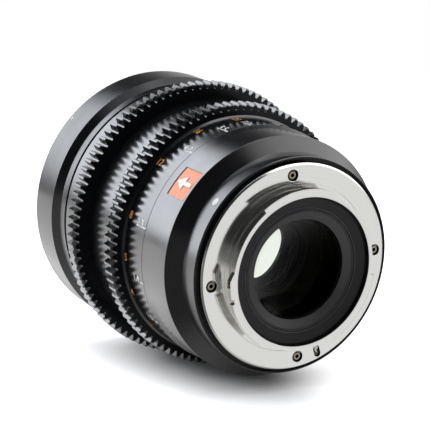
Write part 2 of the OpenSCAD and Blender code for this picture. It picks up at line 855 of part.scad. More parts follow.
// Mount housing: taper, band, rim and groove around the flange, and the rear cell's seat
module mount_housing() {
  hole_len = screw_len + screw_head_t + screw_sink - flange_t;
  color("#17181a") lay()
    difference() {
      turned([[rear_cell_r + seat_fit, flange_t], [groove_r, flange_t], [groove_r, rim_z],
              [band_r - edge_break, rim_z], [band_r, rim_z + edge_break], [band_r, band_z],
              [rear_r, taper_z], [bore_r - seat_fit, taper_z], [bore_r - seat_fit, spigot_z],
              [rear_cell_r + seat_fit, spigot_z]]);
      for (k = [0 : screw_count - 1]) {
        rotate(screw_a + k * 360 / screw_count)
          translate([screw_pcd / 2, 0, flange_t - over])
            cylinder(r = screw_d / 2 + seat_fit, h = hole_len + over + edge_break);
      }
    }
}

// One bayonet lug between two angles, with a sloping lead-in past its far end
module lug(a0, a1) {
  top = polar(lug_r, a1);
  foot = polar(tube_r - lug_root, a1 + lug_lead);
  clear_r = lug_r + 2 * lug_h;
  difference() {
    ring_part(tube_mid_r, lug_r, -tube_len, lug_t - tube_len, a0, a1 + lug_lead - a0);
    translate([0, 0, -tube_len - over])
      linear_extrude(lug_t + 2 * over)
        polygon([top + (top - foot) / 2, foot + (foot - top) / 2, polar(clear_r, a1 + 2 * lug_lead),
                 polar(clear_r, a1 - lug_lead)]);
  }
}

// Bayonet mount: flange, tube and three lugs, with the locking slot, a stop notch and the screw seats
module mount_flange() {
  color("#c9cacb") lay()
    difference() {
      union() {
        turned([[tube_bore_r, -tube_len], [tube_r, -tube_len], [tube_r, foot_depth],
                [foot_r, foot_depth], [foot_r, 0], [flange_r - flange_bevel, 0],
                [flange_r, flange_bevel], [flange_r, flange_t], [tube_bore_r, flange_t]]);
        for (a = lug_angles) {
          lug(a - lug_span / 2, a + lug_span / 2);
        }
      }
      for (k = [0 : screw_count - 1]) {
        rotate(screw_a + k * 360 / screw_count)
          translate([screw_pcd / 2, 0, 0]) {
            translate([0, 0, -over])
              cylinder(r = screw_head_d / 2 + screw_room, h = screw_sink + screw_head_t + over);
            cylinder(r = screw_d / 2 + screw_room, h = flange_t + over);
            cylinder(r1 = screw_head_d / 2 + screw_room + seat_bevel, r2 = screw_head_d / 2 + screw_room,
                     h = seat_bevel);
          }
      }
      rotate(lug_notch_a)
        translate([lug_r - lug_notch_depth, -lug_notch_w / 2, -tube_len - over])
          cube([lug_notch_depth + over, lug_notch_w, lug_t + over + edge_break]);
      rotate(lock_a) {
        for (r = [lock_in_r + lock_w / 2, lock_in_r + lock_len - lock_w / 2]) {
          translate([r, 0, -over])
            cylinder(d = lock_w, h = lock_depth + over);
        }
        translate([lock_in_r + lock_w / 2, -lock_w / 2, -over])
          cube([lock_len - lock_w, lock_w, lock_depth + over]);
      }
    }
}

// The four mount screws, with bevelled heads and hexagon sockets
module mount_screws() {
  color("#9a8f7a") lay()
    for (k = [0 : screw_count - 1]) {
      rotate(screw_a + k * 360 / screw_count)
        translate([screw_pcd / 2, 0, screw_sink])
          difference() {
            turned([[0, 0], [screw_head_d / 2 - head_bevel, 0], [screw_head_d / 2, head_bevel],
                    [screw_head_d / 2, screw_head_t], [screw_d / 2, screw_head_t],
                    [screw_d / 2, screw_head_t + screw_len], [0, screw_head_t + screw_len]]);
            translate([0, 0, -over])
              cylinder(d = socket_d, h = socket_depth + over, $fn = socket_sides);
          }
    }
}

// Cell that holds the two rear elements, seated in the mount housing
module rear_cell() {
  color("#1b1c1e") lay()
    turned([[rear_hole_r, rear_cell_z0], [rear_nose_r, rear_cell_z0], [rear_nose_r, flange_t],
            [rear_cell_r, flange_t], [rear_cell_r, spigot_z],
            [rear_cell_r + rear_flange_w, spigot_z], [rear_cell_r + rear_flange_w, rear_cell_z1],
            [inner_glass_r + seat_fit, rear_cell_z1], [inner_glass_r + seat_fit, inner_glass_z],
            [rear_glass_r + seat_fit, inner_glass_z], [rear_glass_r + seat_fit, rear_glass_z],
            [rear_hole_r, rear_glass_z]]);
}

// Inner rear element
module inner_rear_element() {
  color([0.5, 0.65, 0.6, 0.4]) lay()
    element(inner_glass_r, inner_glass_z, inner_edge, inner_curves);
}

// Spacer between the two rear elements
module rear_spacer() {
  color("#1b1c1e") lay()
    ring(rear_glass_r - glass_rim, rear_glass_r, rear_glass_z + rear_edge, inner_glass_z);
}

// Threaded ring that holds the rear elements
module rear_lock_ring() {
  color("#0e0f10") lay()
    lock_ring(inner_glass_r - glass_rim, inner_glass_r, inner_glass_z + inner_edge);
}

// Rear element, seen from the mount side
module rear_element() {
  color([0.4, 0.55, 0.5, 0.4]) lay()
    element(rear_glass_r, rear_glass_z, rear_edge, rear_curves);
}

// Light baffle in the bayonet tube: a cone into the hole, two thin ridges and a sloping face
module rear_baffle() {
  ridge_w = 0.3;
  ridge_h = 0.25;
  ridge_z = baffle_cone_z - ridge_h;
  rim_w = 0.6;
  rim_drop = 0.8;
  rim_z0 = baffle_z + rim_drop;
  out_r = tube_bore_r - seat_fit;
  color("#0c0d0e") lay()
    turned([[rear_hole_r, rear_cell_z0], [rear_hole_r, rear_cell_z0 - baffle_lip],
            [baffle_cone_r, baffle_cone_z], [baffle_cone_r, ridge_z],
            [baffle_cone_r + ridge_w, ridge_z], [baffle_cone_r + ridge_w, baffle_cone_z],
            [baffle_cone_r + 2 * ridge_w, baffle_cone_z], [baffle_cone_r + 2 * ridge_w, ridge_z],
            [baffle_cone_r + 3 * ridge_w, ridge_z], [baffle_cone_r + 3 * ridge_w, baffle_cone_z],
            [out_r - rim_w, baffle_z], [out_r - rim_w, rim_z0], [out_r, rim_z0],
            [out_r, rear_cell_z0]]);
}

front_ring();
front_trim_ring();
front_cell();
front_lock_ring();
front_element();
second_element();
third_element();
front_spacer();
main_barrel();
iris_housing();
iris_retainer();
iris_ring();
iris_key();
iris_cam_ring();
iris_blade_1();
iris_blade_2();
iris_blade_3();
iris_blade_4();
iris_blade_5();
iris_blade_6();
iris_blade_7();
iris_blade_8();
iris_blade_9();
focus_ring();
focus_carrier();
focus_pins();
focus_front_element();
focus_rear_element();
focus_spacer();
focus_lock_ring();
rear_barrel();
index_plate();
mount_housing();
mount_flange();
mount_screws();
rear_cell();
inner_rear_element();
rear_spacer();
rear_lock_ring();
rear_element();
rear_baffle();
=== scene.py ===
import math

import bmesh
import bpy
from mathutils import Matrix, Vector


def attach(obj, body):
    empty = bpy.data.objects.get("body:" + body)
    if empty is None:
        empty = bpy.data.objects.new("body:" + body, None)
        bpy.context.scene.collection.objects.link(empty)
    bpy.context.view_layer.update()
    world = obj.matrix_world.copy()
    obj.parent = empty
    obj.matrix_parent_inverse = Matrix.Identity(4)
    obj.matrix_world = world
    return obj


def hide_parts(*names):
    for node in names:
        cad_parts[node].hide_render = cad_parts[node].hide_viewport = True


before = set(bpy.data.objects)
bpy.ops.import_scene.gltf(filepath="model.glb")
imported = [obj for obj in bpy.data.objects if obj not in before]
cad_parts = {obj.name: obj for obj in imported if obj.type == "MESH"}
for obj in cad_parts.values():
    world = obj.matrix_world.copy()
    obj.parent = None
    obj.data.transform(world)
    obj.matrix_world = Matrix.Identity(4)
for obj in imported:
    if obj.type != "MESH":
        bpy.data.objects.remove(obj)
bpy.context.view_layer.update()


# Main barrel: the tube that carries everything, turned from aluminium bar with a broad shoulder
# between its two rings, then blasted lightly, anodised and dyed black.
def linear(code):
    """Linear RGBA of an sRGB hex colour."""
    parts = [int(code[k:k + 2], 16) / 255 for k in (1, 3, 5)]
    return tuple(c / 12.92 if c <= 0.04045 else ((c + 0.055) / 1.055) ** 2.4 for c in parts) + (1.0,)


def add(tree, kind, inputs=None, **settings):
    """Adds a node, sets its settings and gives its inputs a value or a link."""
    node = tree.nodes.new(kind)
    for name, value in settings.items():
        setattr(node, name, value)
    for name, value in (inputs or {}).items():
        if isinstance(value, bpy.types.NodeSocket):
            tree.links.new(value, node.inputs[name])
        else:
            node.inputs[name].default_value = value
    return node


def empty_material(name):
    """A material with an empty node tree."""
    material = bpy.data.materials.new(name)
    material.use_nodes = True
    material.node_tree.nodes.clear()
    return material


def dress(material, *names):
    """Gives CAD nodes a material."""
    for name in names:
        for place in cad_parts[name].material_slots:
            place.material = material


MM = 0.001

# Black anodised aluminium: a dyed oxide skin over blasted metal. The eye gets a deep black with a
# satin gloss, a fine grain in the highlight and thin bright lines where an edge is broken. The flat
# end faces are left coarse by the facing tool and hardly shine.
# The blasting is about 0.08 mm across, drawn at 0.3 mm so that it shows.
black_anodised = empty_material("black_anodised_aluminium")
tree = black_anodised.node_tree
spot = add(tree, "ShaderNodeTexCoord")
grain = add(tree, "ShaderNodeTexNoise", {"Vector": spot.outputs["Object"], "Scale": 1 / (0.3 * MM), "Detail": 3.0})
cloud = add(tree, "ShaderNodeTexNoise", {"Vector": spot.outputs["Object"], "Scale": 1 / (7 * MM), "Detail": 2.0})
gloss = add(tree, "ShaderNodeMapRange", {"Value": cloud.outputs["Fac"], "From Min": 0.3, "From Max": 0.7,
                                         "To Min": 0.17, "To Max": 0.22})
tone = add(tree, "ShaderNodeMix", {0: grain.outputs["Fac"], 6: linear("#0b0c0e"), 7: linear("#141518")},
           data_type="RGBA")
broken_edge = add(tree, "ShaderNodeBevel", {"Radius": 0.12 * MM}, samples=6)
faced = add(tree, "ShaderNodeNewGeometry")
faced = add(tree, "ShaderNodeSeparateXYZ", {"Vector": faced.outputs["Normal"]})
faced = add(tree, "ShaderNodeMath", {0: faced.outputs["Y"]}, operation="ABSOLUTE")
shine = add(tree, "ShaderNodeMapRange", {"Value": faced.outputs["Value"], "From Min": 0.85, "From Max": 0.97,
                                         "To Min": 0.5, "To Max": 0.12}, name="shine")
relief = add(tree, "ShaderNodeBump", {"Strength": 0.12, "Distance": 0.02 * MM, "Height": grain.outputs["Fac"],
                                      "Normal": broken_edge.outputs["Normal"]})
skin = add(tree, "ShaderNodeBsdfPrincipled", {"Base Color": tone.outputs[2], "Roughness": gloss.outputs["Result"],
                                              "IOR": 1.65, "Specular IOR Level": shine.outputs["Result"],
                                              "Normal": relief.outputs["Normal"]})
add(tree, "ShaderNodeOutputMaterial", {"Surface": skin.outputs["BSDF"]})

dress(black_anodised, "main_barrel")


# Iris unit: a blackened cup with nine pivoted blades, driven by a slotted cam ring behind them.
# The cup drops into the barrel from the front, and a key through the wall joins cam and outer ring.

# Optical black: a thick dead-flat lacquer on what lies round the light path. The eye gets no shine,
# only a hint of the spray's 0.2 mm grain, drawn at 0.5 mm.
optical_black = empty_material("optical_black_lacquer")
tree = optical_black.node_tree
spot = add(tree, "ShaderNodeTexCoord")
grain = add(tree, "ShaderNodeTexNoise", {"Vector": spot.outputs["Object"], "Scale": 1 / (0.5 * MM), "Detail": 3.0})
# The lacquer is real black. Its tone is lifted and tinted green to stand in for the faint green sheen of the glass
# coatings, which is a painted reflection.
tone = add(tree, "ShaderNodeMix", {0: grain.outputs["Fac"], 6: linear("#0b0e09"), 7: linear("#141910")},
           data_type="RGBA")
skin = add(tree, "ShaderNodeBsdfPrincipled", {"Base Color": tone.outputs[2], "Roughness": 0.9,
                                              "Specular IOR Level": 0.12})
add(tree, "ShaderNodeOutputMaterial", {"Surface": skin.outputs["BSDF"]})

dress(optical_black, "iris_housing", "iris_retainer")

# Brass: turned and left bare. The eye gets warm yellow metal with faint tool marks round the axis,
# whose feed of 0.1 mm is drawn at 0.3 mm.
brass = empty_material("turned_brass")
tree = brass.node_tree
spot = add(tree, "ShaderNodeTexCoord")
marks = add(tree, "ShaderNodeTexNoise", {"Vector": spot.outputs["Object"], "Scale": 1 / (0.3 * MM), "Detail": 2.0})
tone = add(tree, "ShaderNodeMix", {0: marks.outputs["Fac"], 6: linear("#a8843f"), 7: linear("#c9a65c")},
           data_type="RGBA")
gloss = add(tree, "ShaderNodeMapRange", {"Value": marks.outputs["Fac"], "To Min": 0.22, "To Max": 0.36})
skin = add(tree, "ShaderNodeBsdfPrincipled", {"Base Color": tone.outputs[2], "Metallic": 1.0,
                                              "Roughness": gloss.outputs["Result"]})
add(tree, "ShaderNodeOutputMaterial", {"Surface": skin.outputs["BSDF"]})

dress(brass, "iris_key")

# Blackened steel: thin spring strip with a dry black coat. The eye gets an even dark grey with a
# faint rolled streak, whose 0.2 mm spacing is drawn at 0.5 mm.
blackened_steel = empty_material("blackened_spring_steel")
tree = blackened_steel.node_tree
spot = add(tree, "ShaderNodeTexCoord")
streak = add(tree, "ShaderNodeTexNoise", {"Vector": spot.outputs["Object"], "Scale": 1 / (0.5 * MM),
                                          "Detail": 2.0})
tone = add(tree, "ShaderNodeMix", {0: streak.outputs["Fac"], 6: linear("#17181a"), 7: linear("#26282b")},
           data_type="RGBA")
gloss = add(tree, "ShaderNodeMapRange", {"Value": streak.outputs["Fac"], "To Min": 0.38, "To Max": 0.5})
skin = add(tree, "ShaderNodeBsdfPrincipled", {"Base Color": tone.outputs[2], "Metallic": 0.6,
                                              "Roughness": gloss.outputs["Result"]})
add(tree, "ShaderNodeOutputMaterial", {"Surface": skin.outputs["BSDF"]})

BLADES = 9
dress(blackened_steel, "iris_cam_ring", *["iris_blade_%d" % k for k in range(1, BLADES + 1)])


def thin_piece(name, shapes, material, body):
    """One piece from a list of (points, faces), fixed to the body that carries it."""
    points, faces = [], []
    for some_points, some_faces in shapes:
        faces += [[len(points) + v for v in face] for face in some_faces]
        points += some_points
    sheet = bpy.data.meshes.new(name)
    sheet.from_pydata(points, [], faces)
    sheet.materials.append(material)
    piece = bpy.data.objects.new(name, sheet)
    bpy.context.scene.collection.objects.link(piece)
    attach(piece, body)
    return piece


# Each blade is left a little wider beside the next blade's pivot, which shuts the last slits of the closed
# iris. The rim starts and ends at two angles in degrees, and narrows to a tip at both.
BLADE_LEVEL = 56.87 * MM
BLADE_PITCH = 0.35 * MM
RIM_IN = 22.25 * MM
RIM_WIDTH = 0.97 * MM
RIM_TIP = 0.02
RIM_T = 0.16 * MM
RIM_FROM = 25.5
RIM_TO = 44.0
RIM_RAMP = 4.0
RIM_STEPS = 20
FIRST_BLADE = -47.5
for k in range(1, BLADES + 1):
    points, faces = [], []
    level = BLADE_LEVEL + BLADE_PITCH * (k - 1)
    for step in range(RIM_STEPS + 1):
        turn = RIM_FROM + (RIM_TO - RIM_FROM) * step / RIM_STEPS
        width = RIM_WIDTH * max(RIM_TIP, min(1.0, (turn - RIM_FROM) / RIM_RAMP, (RIM_TO - turn) / RIM_RAMP))
        a = math.radians(FIRST_BLADE + 360 / BLADES * k + turn)
        section = ((RIM_IN, level), (RIM_IN + width, level),
                   (RIM_IN + width, level + RIM_T), (RIM_IN, level + RIM_T))
        points += [(-r * math.cos(a), y, r * math.sin(a)) for r, y in section]
        if step:
            here, there = 4 * step - 4, 4 * step
            faces += [[here + c, here + (c + 1) % 4, there + (c + 1) % 4, there + c] for c in range(4)]
    faces += [[3, 2, 1, 0], [4 * RIM_STEPS + c for c in range(4)]]
    blade_rim = thin_piece("blade_rim_%d" % k, [(points, faces)], blackened_steel, "iris_blade_%d" % k)


# Front glass: a cell with three elements, a spacer and a lock ring, dropped onto the iris unit.
# The elements are ground and polished, and coated against reflections.
dress(optical_black, "front_cell", "front_spacer")

# Matt black anodising: the barrel's skin on coarser blasting, for what must not shine round the glass.
# The eye gets a soft dark grey with no clear highlight; blasting of 0.15 mm is drawn at 0.4 mm.
matt_black = empty_material("matt_black_anodised_aluminium")
tree = matt_black.node_tree
spot = add(tree, "ShaderNodeTexCoord")
grain = add(tree, "ShaderNodeTexNoise", {"Vector": spot.outputs["Object"], "Scale": 1 / (0.4 * MM), "Detail": 4.0})
tone = add(tree, "ShaderNodeMix", {0: grain.outputs["Fac"], 6: linear("#0a0a0b"), 7: linear("#161618")},
           data_type="RGBA")
gloss = add(tree, "ShaderNodeMapRange", {"Value": grain.outputs["Fac"], "To Min": 0.42, "To Max": 0.6})
relief = add(tree, "ShaderNodeBump", {"Strength": 0.3, "Distance": 0.04 * MM, "Height": grain.outputs["Fac"]})
skin = add(tree, "ShaderNodeBsdfPrincipled", {"Base Color": tone.outputs[2], "Roughness": gloss.outputs["Result"],
                                              "IOR": 1.6, "Normal": relief.outputs["Normal"]})
add(tree, "ShaderNodeOutputMaterial", {"Surface": skin.outputs["BSDF"]})

dress(matt_black, "front_lock_ring")

GLASS_RIM = 1.0 * MM


def coated_glass(name, index, sheen="#000000"):
    """Coated optical glass: clear, with a film that kills its reflection but for a sheen (black is none).

    The eye sees through it into the dark bore. The film is a little uneven over 9 mm, which shifts its tint."""
    glass = empty_material("coated_optical_glass_" + name)
    tree = glass.node_tree
    spot = add(tree, "ShaderNodeTexCoord")
    film = add(tree, "ShaderNodeTexNoise", {"Vector": spot.outputs["Object"], "Scale": 1 / (9 * MM)})
    tone = add(tree, "ShaderNodeMix", {0: film.outputs["Fac"], 6: linear("#fcfefc"), 7: linear("#fdfdfb")},
               data_type="RGBA")
    skin = add(tree, "ShaderNodeBsdfPrincipled", {"Base Color": tone.outputs[2], "Roughness": 0.0, "IOR": index,
                                                  "Transmission Weight": 1.0, "Specular Tint": linear(sheen)})
    add(tree, "ShaderNodeOutputMaterial", {"Surface": skin.outputs["BSDF"]})
    return glass


def glass_element(node, body, radius, seat, edge, front_curve, rear_curve, material):
    """A polished element with a blacked rim, on its CAD solid's own curves (0 is flat, minus is hollow)."""
    rings, sides = 22, 128
    clear = radius - GLASS_RIM
    faces = []
    for level, curve, out in ((seat, rear_curve, -1), (seat + edge, front_curve, 1)):
        rows = []
        for k in range(rings + 1):
            r = clear * k / rings
            if curve == 0:
                rows.append((r, level, 0.0, out))
                continue
            ball, way = abs(curve), out if curve > 0 else -out
            height = math.sqrt(ball * ball - r * r)
            centre = level - way * math.sqrt(ball * ball - clear * clear)
            lean = 1 if curve > 0 else -1
            rows.append((r, centre + way * height, lean * r / ball, lean * way * height / ball))
        faces += [rows, [(clear, level, 0.0, out), (radius, level, 0.0, out)]]
    faces.append([(radius, seat, 1.0, 0.0), (radius, seat + edge, 1.0, 0.0)])
    points, corners, normals, coats = [], [], [], []
    for rows in faces:
        first = len(points)
        for r, y, _, _ in rows:
            points += [(r * math.cos(2 * math.pi * s / sides), y, r * math.sin(2 * math.pi * s / sides))
                       for s in range(sides)]
        for k in range(len(rows) - 1):
            for s in range(sides):
                quad = [(k, s), (k, (s + 1) % sides), (k + 1, (s + 1) % sides), (k + 1, s)]
                if rows[k][0] == 0:
                    quad = quad[1:]
                (r0, y0, _, _), (r1, y1, _, _) = rows[k], rows[k + 1]
                if (y1 - y0) * rows[k + 1][2] - (r1 - r0) * rows[k + 1][3] > 0:
                    quad = quad[::-1]
                corners.append([first + row * sides + side for row, side in quad])
                coats.append(1 if len(rows) == 2 else 0)
                normals += [(rows[row][2] * math.cos(2 * math.pi * side / sides), rows[row][3],
                             rows[row][2] * math.sin(2 * math.pi * side / sides)) for row, side in quad]
    lathe = bpy.data.meshes.new(node + "_polished")
    lathe.from_pydata(points, [], corners)
    lathe.polygons.foreach_set("use_smooth", [True] * len(lathe.polygons))
    lathe.normals_split_custom_set(normals)
    lathe.materials.append(material)
    lathe.materials.append(optical_black)
    lathe.polygons.foreach_set("material_index", coats)
    piece = bpy.data.objects.new(node + "_polished", lathe)
    bpy.context.scene.collection.objects.link(piece)
    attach(piece, body)
    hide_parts(node)


# Thin coated glass: the two elements before the iris bend light little, so they are drawn as clear films.
# The eye gets a faint dark gloss, uneven over 9 mm.
thin_glass = empty_material("coated_optical_glass_thin")
tree = thin_glass.node_tree
spot = add(tree, "ShaderNodeTexCoord")
film = add(tree, "ShaderNodeTexNoise", {"Vector": spot.outputs["Object"], "Scale": 1 / (9 * MM)})
tone = add(tree, "ShaderNodeMix", {0: film.outputs["Fac"], 6: linear("#0c1613"), 7: linear("#15191a")},
           data_type="RGBA")
skin = add(tree, "ShaderNodeBsdfPrincipled", {"Base Color": tone.outputs[2], "Roughness": 0.02, "IOR": 1.3,
                                              "Alpha": 0.012})
add(tree, "ShaderNodeOutputMaterial", {"Surface": skin.outputs["BSDF"]})

glass_element("third_element", "lens_body", radius=19.0 * MM, seat=62.4 * MM, edge=2.0 * MM,
              front_curve=70 * MM, rear_curve=-80 * MM, material=thin_glass)
glass_element("second_element", "lens_body", radius=22.0 * MM, seat=67.0 * MM, edge=2.6 * MM,
              front_curve=90 * MM, rear_curve=-150 * MM, material=thin_glass)
glass_element("front_element", "lens_body", radius=25.5 * MM, seat=72.8 * MM, edge=2.2 * MM,
              front_curve=98 * MM, rear_curve=0, material=coated_glass("front", 1.56, sheen="#303c33"))


# Front ring: the wide band that a matte box clamps on, with the filter thread inside its mouth.
# It is turned and anodised apart from the barrel, and holds a plain stepped trim ring round the glass.

# Satin black anodising: as the barrel's, but unsealed. The eye gets the same black with a weaker shine,
# and hardly any on the bevel, which is cut with a coarser feed.
satin_black = black_anodised.copy()
satin_black.name = "satin_black_anodised_aluminium"
nodes = satin_black.node_tree.nodes
next(node for node in nodes if node.type == "BSDF_PRINCIPLED").inputs["IOR"].default_value = 1.46
for end, value in (("From Min", 0.2), ("From Max", 0.5), ("To Max", 0.18)):
    nodes["shine"].inputs[end].default_value = value
dress(satin_black, "front_ring")
dress(matt_black, "front_trim_ring")

# The filter thread is one cut ridge of 0.75 mm pitch. Half its foot and half its crest are shares of that.
THREAD_R = 38.5 * MM
THREAD_DEPTH = 0.42 * MM
THREAD_PITCH = 0.75 * MM
THREAD_FOOT = 0.42
THREAD_CREST = 0.06
THREAD_FROM = 78.7 * MM
THREAD_TO = 83.6 * MM
THREAD_STEPS = 90
thread_top = THREAD_R - THREAD_DEPTH
section = ((THREAD_R, -THREAD_FOOT), (thread_top, -THREAD_CREST), (thread_top, THREAD_CREST),
           (THREAD_R, THREAD_FOOT))
turns = (THREAD_TO - THREAD_FROM) / THREAD_PITCH
shape = bmesh.new()
rows = []
for k in range(int(turns * THREAD_STEPS) + 1):
    a = 2 * math.pi * k / THREAD_STEPS
    y = THREAD_FROM + THREAD_PITCH * k / THREAD_STEPS
    rows.append([shape.verts.new((r * math.cos(a), y + part * THREAD_PITCH, r * math.sin(a)))
                 for r, part in section])
for here, there in zip(rows, rows[1:]):
    for c in range(3):
        shape.faces.new((here[c], here[c + 1], there[c + 1], there[c]))
shape.faces.new(rows[0])
shape.faces.new(reversed(rows[-1]))
bmesh.ops.recalc_face_normals(shape, faces=shape.faces)
mesh = bpy.data.meshes.new("filter_thread")
shape.to_mesh(mesh)
shape.free()
filter_thread = bpy.data.objects.new("filter_thread", mesh)
bpy.context.scene.collection.objects.link(filter_thread)
mesh.materials.append(satin_black)
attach(filter_thread, "lens_body")

# The dot that marks the top of the lens is printed.
# Pad-printed white ink: a thin flat coat with a slightly broken cover, seen as a bright dry white.
white_ink = empty_material("white_marking_ink")
tree = white_ink.node_tree
spot = add(tree, "ShaderNodeTexCoord")
cover = add(tree, "ShaderNodeTexNoise", {"Vector": spot.outputs["Object"], "Scale": 1 / (0.4 * MM), "Detail": 3.0})
tone = add(tree, "ShaderNodeMix", {0: cover.outputs["Fac"], 6: linear("#dfe0dc"), 7: linear("#fbfbf8")},
           data_type="RGBA")
skin = add(tree, "ShaderNodeBsdfPrincipled", {"Base Color": tone.outputs[2], "Roughness": 0.5})
add(tree, "ShaderNodeOutputMaterial", {"Surface": skin.outputs["BSDF"]})

FRONT_R = 40 * MM
INDEX_ANGLE = 137.5
INK = 0.03 * MM


def wrap(radius, turn, along, across):
    """The point on a cylinder about the axis: turn in degrees from the index, across in metres round it."""
    a = math.radians(INDEX_ANGLE + turn) - across / radius
    return Vector((radius * math.cos(a), along, radius * math.sin(a)))


def oval(radius, turn, along, length, width):
    """A dot on a cylinder: length round it, width along the axis."""
    rim = 24
    points = [wrap(radius, turn, along, 0.0)]
    for k in range(rim):
        a = 2 * math.pi * k / rim
        points.append(wrap(radius, turn, along - width / 2 * math.cos(a), length / 2 * math.sin(a)))
    return points, [[0, 1 + k, 1 + (k + 1) % rim] for k in range(rim)]


front_dot = oval(FRONT_R + INK, turn=-3.0, along=82.5 * MM, length=1.0 * MM, width=0.8 * MM)
thin_piece("front_dot", [front_dot], white_ink, "lens_body")


# Iris ring: aluminium, hobbed with standard gear teeth for a motor or hand wheel, anodised black.
# It turns on the barrel and carries the key.
dress(black_anodised, "iris_ring")


# Focus unit: an alloy carrier with two elements and three brass followers, which slides in the
# barrel as the geared ring outside turns its helical grooves round it.

# Plain alloy: clear anodised aluminium. The eye gets a soft grey metal with fine turning marks,
# whose feed of 0.1 mm is drawn at 0.4 mm. The bore, which light passes, is lacquered black.
BORE_R = 18.5 * MM
plain_alloy = empty_material("clear_anodised_aluminium")
tree = plain_alloy.node_tree
spot = add(tree, "ShaderNodeTexCoord")
marks = add(tree, "ShaderNodeTexNoise", {"Vector": spot.outputs["Object"], "Scale": 1 / (0.4 * MM), "Detail": 2.0})
tone = add(tree, "ShaderNodeMix", {0: marks.outputs["Fac"], 6: linear("#2b2c2e"), 7: linear("#3a3b3d")},
           data_type="RGBA")
gloss = add(tree, "ShaderNodeMapRange", {"Value": marks.outputs["Fac"], "To Min": 0.35, "To Max": 0.5})
parts = add(tree, "ShaderNodeSeparateXYZ", {"Vector": spot.outputs["Object"]})
across = add(tree, "ShaderNodeCombineXYZ", {"X": parts.outputs["X"], "Y": parts.outputs["Z"]})
radius = add(tree, "ShaderNodeVectorMath", {0: across.outputs["Vector"]}, operation="LENGTH")
outside = add(tree, "ShaderNodeMath", {0: radius.outputs["Value"], 1: BORE_R}, operation="GREATER_THAN")
# The bore's black is lifted and tinted green like the optical black. This is a painted reflection of the glass
# coatings' sheen.
tone = add(tree, "ShaderNodeMix", {0: outside.outputs["Value"], 6: linear("#0d110b"), 7: tone.outputs[2]},
           data_type="RGBA")
gloss = add(tree, "ShaderNodeMix", {0: outside.outputs["Value"], 2: 0.9, 3: gloss.outputs["Result"]},
            data_type="FLOAT")
metal = add(tree, "ShaderNodeMath", {0: outside.outputs["Value"], 1: 0.7}, operation="MULTIPLY")
skin = add(tree, "ShaderNodeBsdfPrincipled", {"Base Color": tone.outputs[2], "Metallic": metal.outputs["Value"],
                                              "Roughness": gloss.outputs[0], "Specular IOR Level": 0.12})
add(tree, "ShaderNodeOutputMaterial", {"Surface": skin.outputs["BSDF"]})

dress(plain_alloy, "focus_carrier")
dress(brass, "focus_pins")
dress(optical_black, "focus_spacer", "focus_lock_ring")
glass_element("focus_rear_element", "focus_group", radius=18.0 * MM, seat=23.79 * MM, edge=3.0 * MM,
              front_curve=135 * MM, rear_curve=76 * MM, material=coated_glass("focus_rear", 1.63))
glass_element("focus_front_element", "focus_group", radius=18.0 * MM, seat=31.29 * MM, edge=6.0 * MM,
              front_curve=0, rear_curve=120 * MM, material=coated_glass("focus_front", 1.67))
dress(black_anodised, "focus_ring")

# The distance scale is printed, white for metres and orange for feet.
# Orange ink: the same thin coat as the white, seen as a dry warm orange.
orange_ink = empty_material("orange_marking_ink")
tree = orange_ink.node_tree
spot = add(tree, "ShaderNodeTexCoord")
cover = add(tree, "ShaderNodeTexNoise", {"Vector": spot.outputs["Object"], "Scale": 1 / (0.4 * MM), "Detail": 3.0})
tone = add(tree, "ShaderNodeMix", {0: cover.outputs["Fac"], 6: linear("#ee9a2c"), 7: linear("#ffbe5c")},
           data_type="RGBA")
skin = add(tree, "ShaderNodeBsdfPrincipled", {"Base Color": tone.outputs[2], "Roughness": 0.5})
add(tree, "ShaderNodeOutputMaterial", {"Surface": skin.outputs["BSDF"]})

SCALE_R = 34.9 * MM + INK
NUMERAL = 2.2 * MM
NUMERAL_BOLD = 0.006


def numeral(text, radius, turn, along, base):
    """Figures on a cylinder, read from the left side of the lens.

    They start at along and run to the rear, and stand at base up from the turn."""
    letters = bpy.data.curves.new("numeral", "FONT")
    letters.body = text
    letters.offset = NUMERAL_BOLD
    letters.resolution_u = 3
    carrier = bpy.data.objects.new("numeral", letters)
    bpy.context.scene.collection.objects.link(carrier)
    flat = bpy.data.meshes.new_from_object(carrier.evaluated_get(bpy.context.evaluated_depsgraph_get()))
    low = [min(v.co[k] for v in flat.vertices) for k in (0, 1)]
    high = max(v.co[1] for v in flat.vertices)
    size = NUMERAL / (high - low[1])
    points = [wrap(radius, turn, along - (v.co[0] - low[0]) * size, (v.co[1] - low[1]) * size + base)
              for v in flat.vertices]
    faces = [list(face.vertices) for face in flat.polygons]
    bpy.data.objects.remove(carrier)
    bpy.data.curves.remove(letters)
    bpy.data.meshes.remove(flat)
    return points, faces


def endless(radius, turn, along):
    """The mark for far away: a lying eight drawn as a ribbon."""
    steps, reach, pen, fat = 48, 1.7 * MM, 0.17 * MM, 1.3
    centre = []
    for k in range(steps):
        t = 2 * math.pi * k / steps
        flat = 1 + math.sin(t) ** 2
        centre.append((reach * math.cos(t) / flat, fat * reach * math.sin(t) * math.cos(t) / flat))
    points, faces = [], []
    for k in range(steps):
        (x0, y0), (x1, y1) = centre[k - 1], centre[(k + 1) % steps]
        size = math.hypot(x1 - x0, y1 - y0)
        for side in (pen, -pen):
            x = centre[k][0] - side * (y1 - y0) / size
            y = centre[k][1] + side * (x1 - x0) / size
            points.append(wrap(radius, turn, along - reach - x, y))
        after = 2 * ((k + 1) % steps)
        faces.append([2 * k + 1, after + 1, after, 2 * k])
    return points, faces


def stroke(radius, turn, start, stop, width):
    """A straight line along the axis on a cylinder."""
    points = [wrap(radius, turn, along, across) for along, across in
              ((start, -width / 2), (stop, -width / 2), (stop, width / 2), (start, width / 2))]
    return points, [[0, 1, 2, 3]]


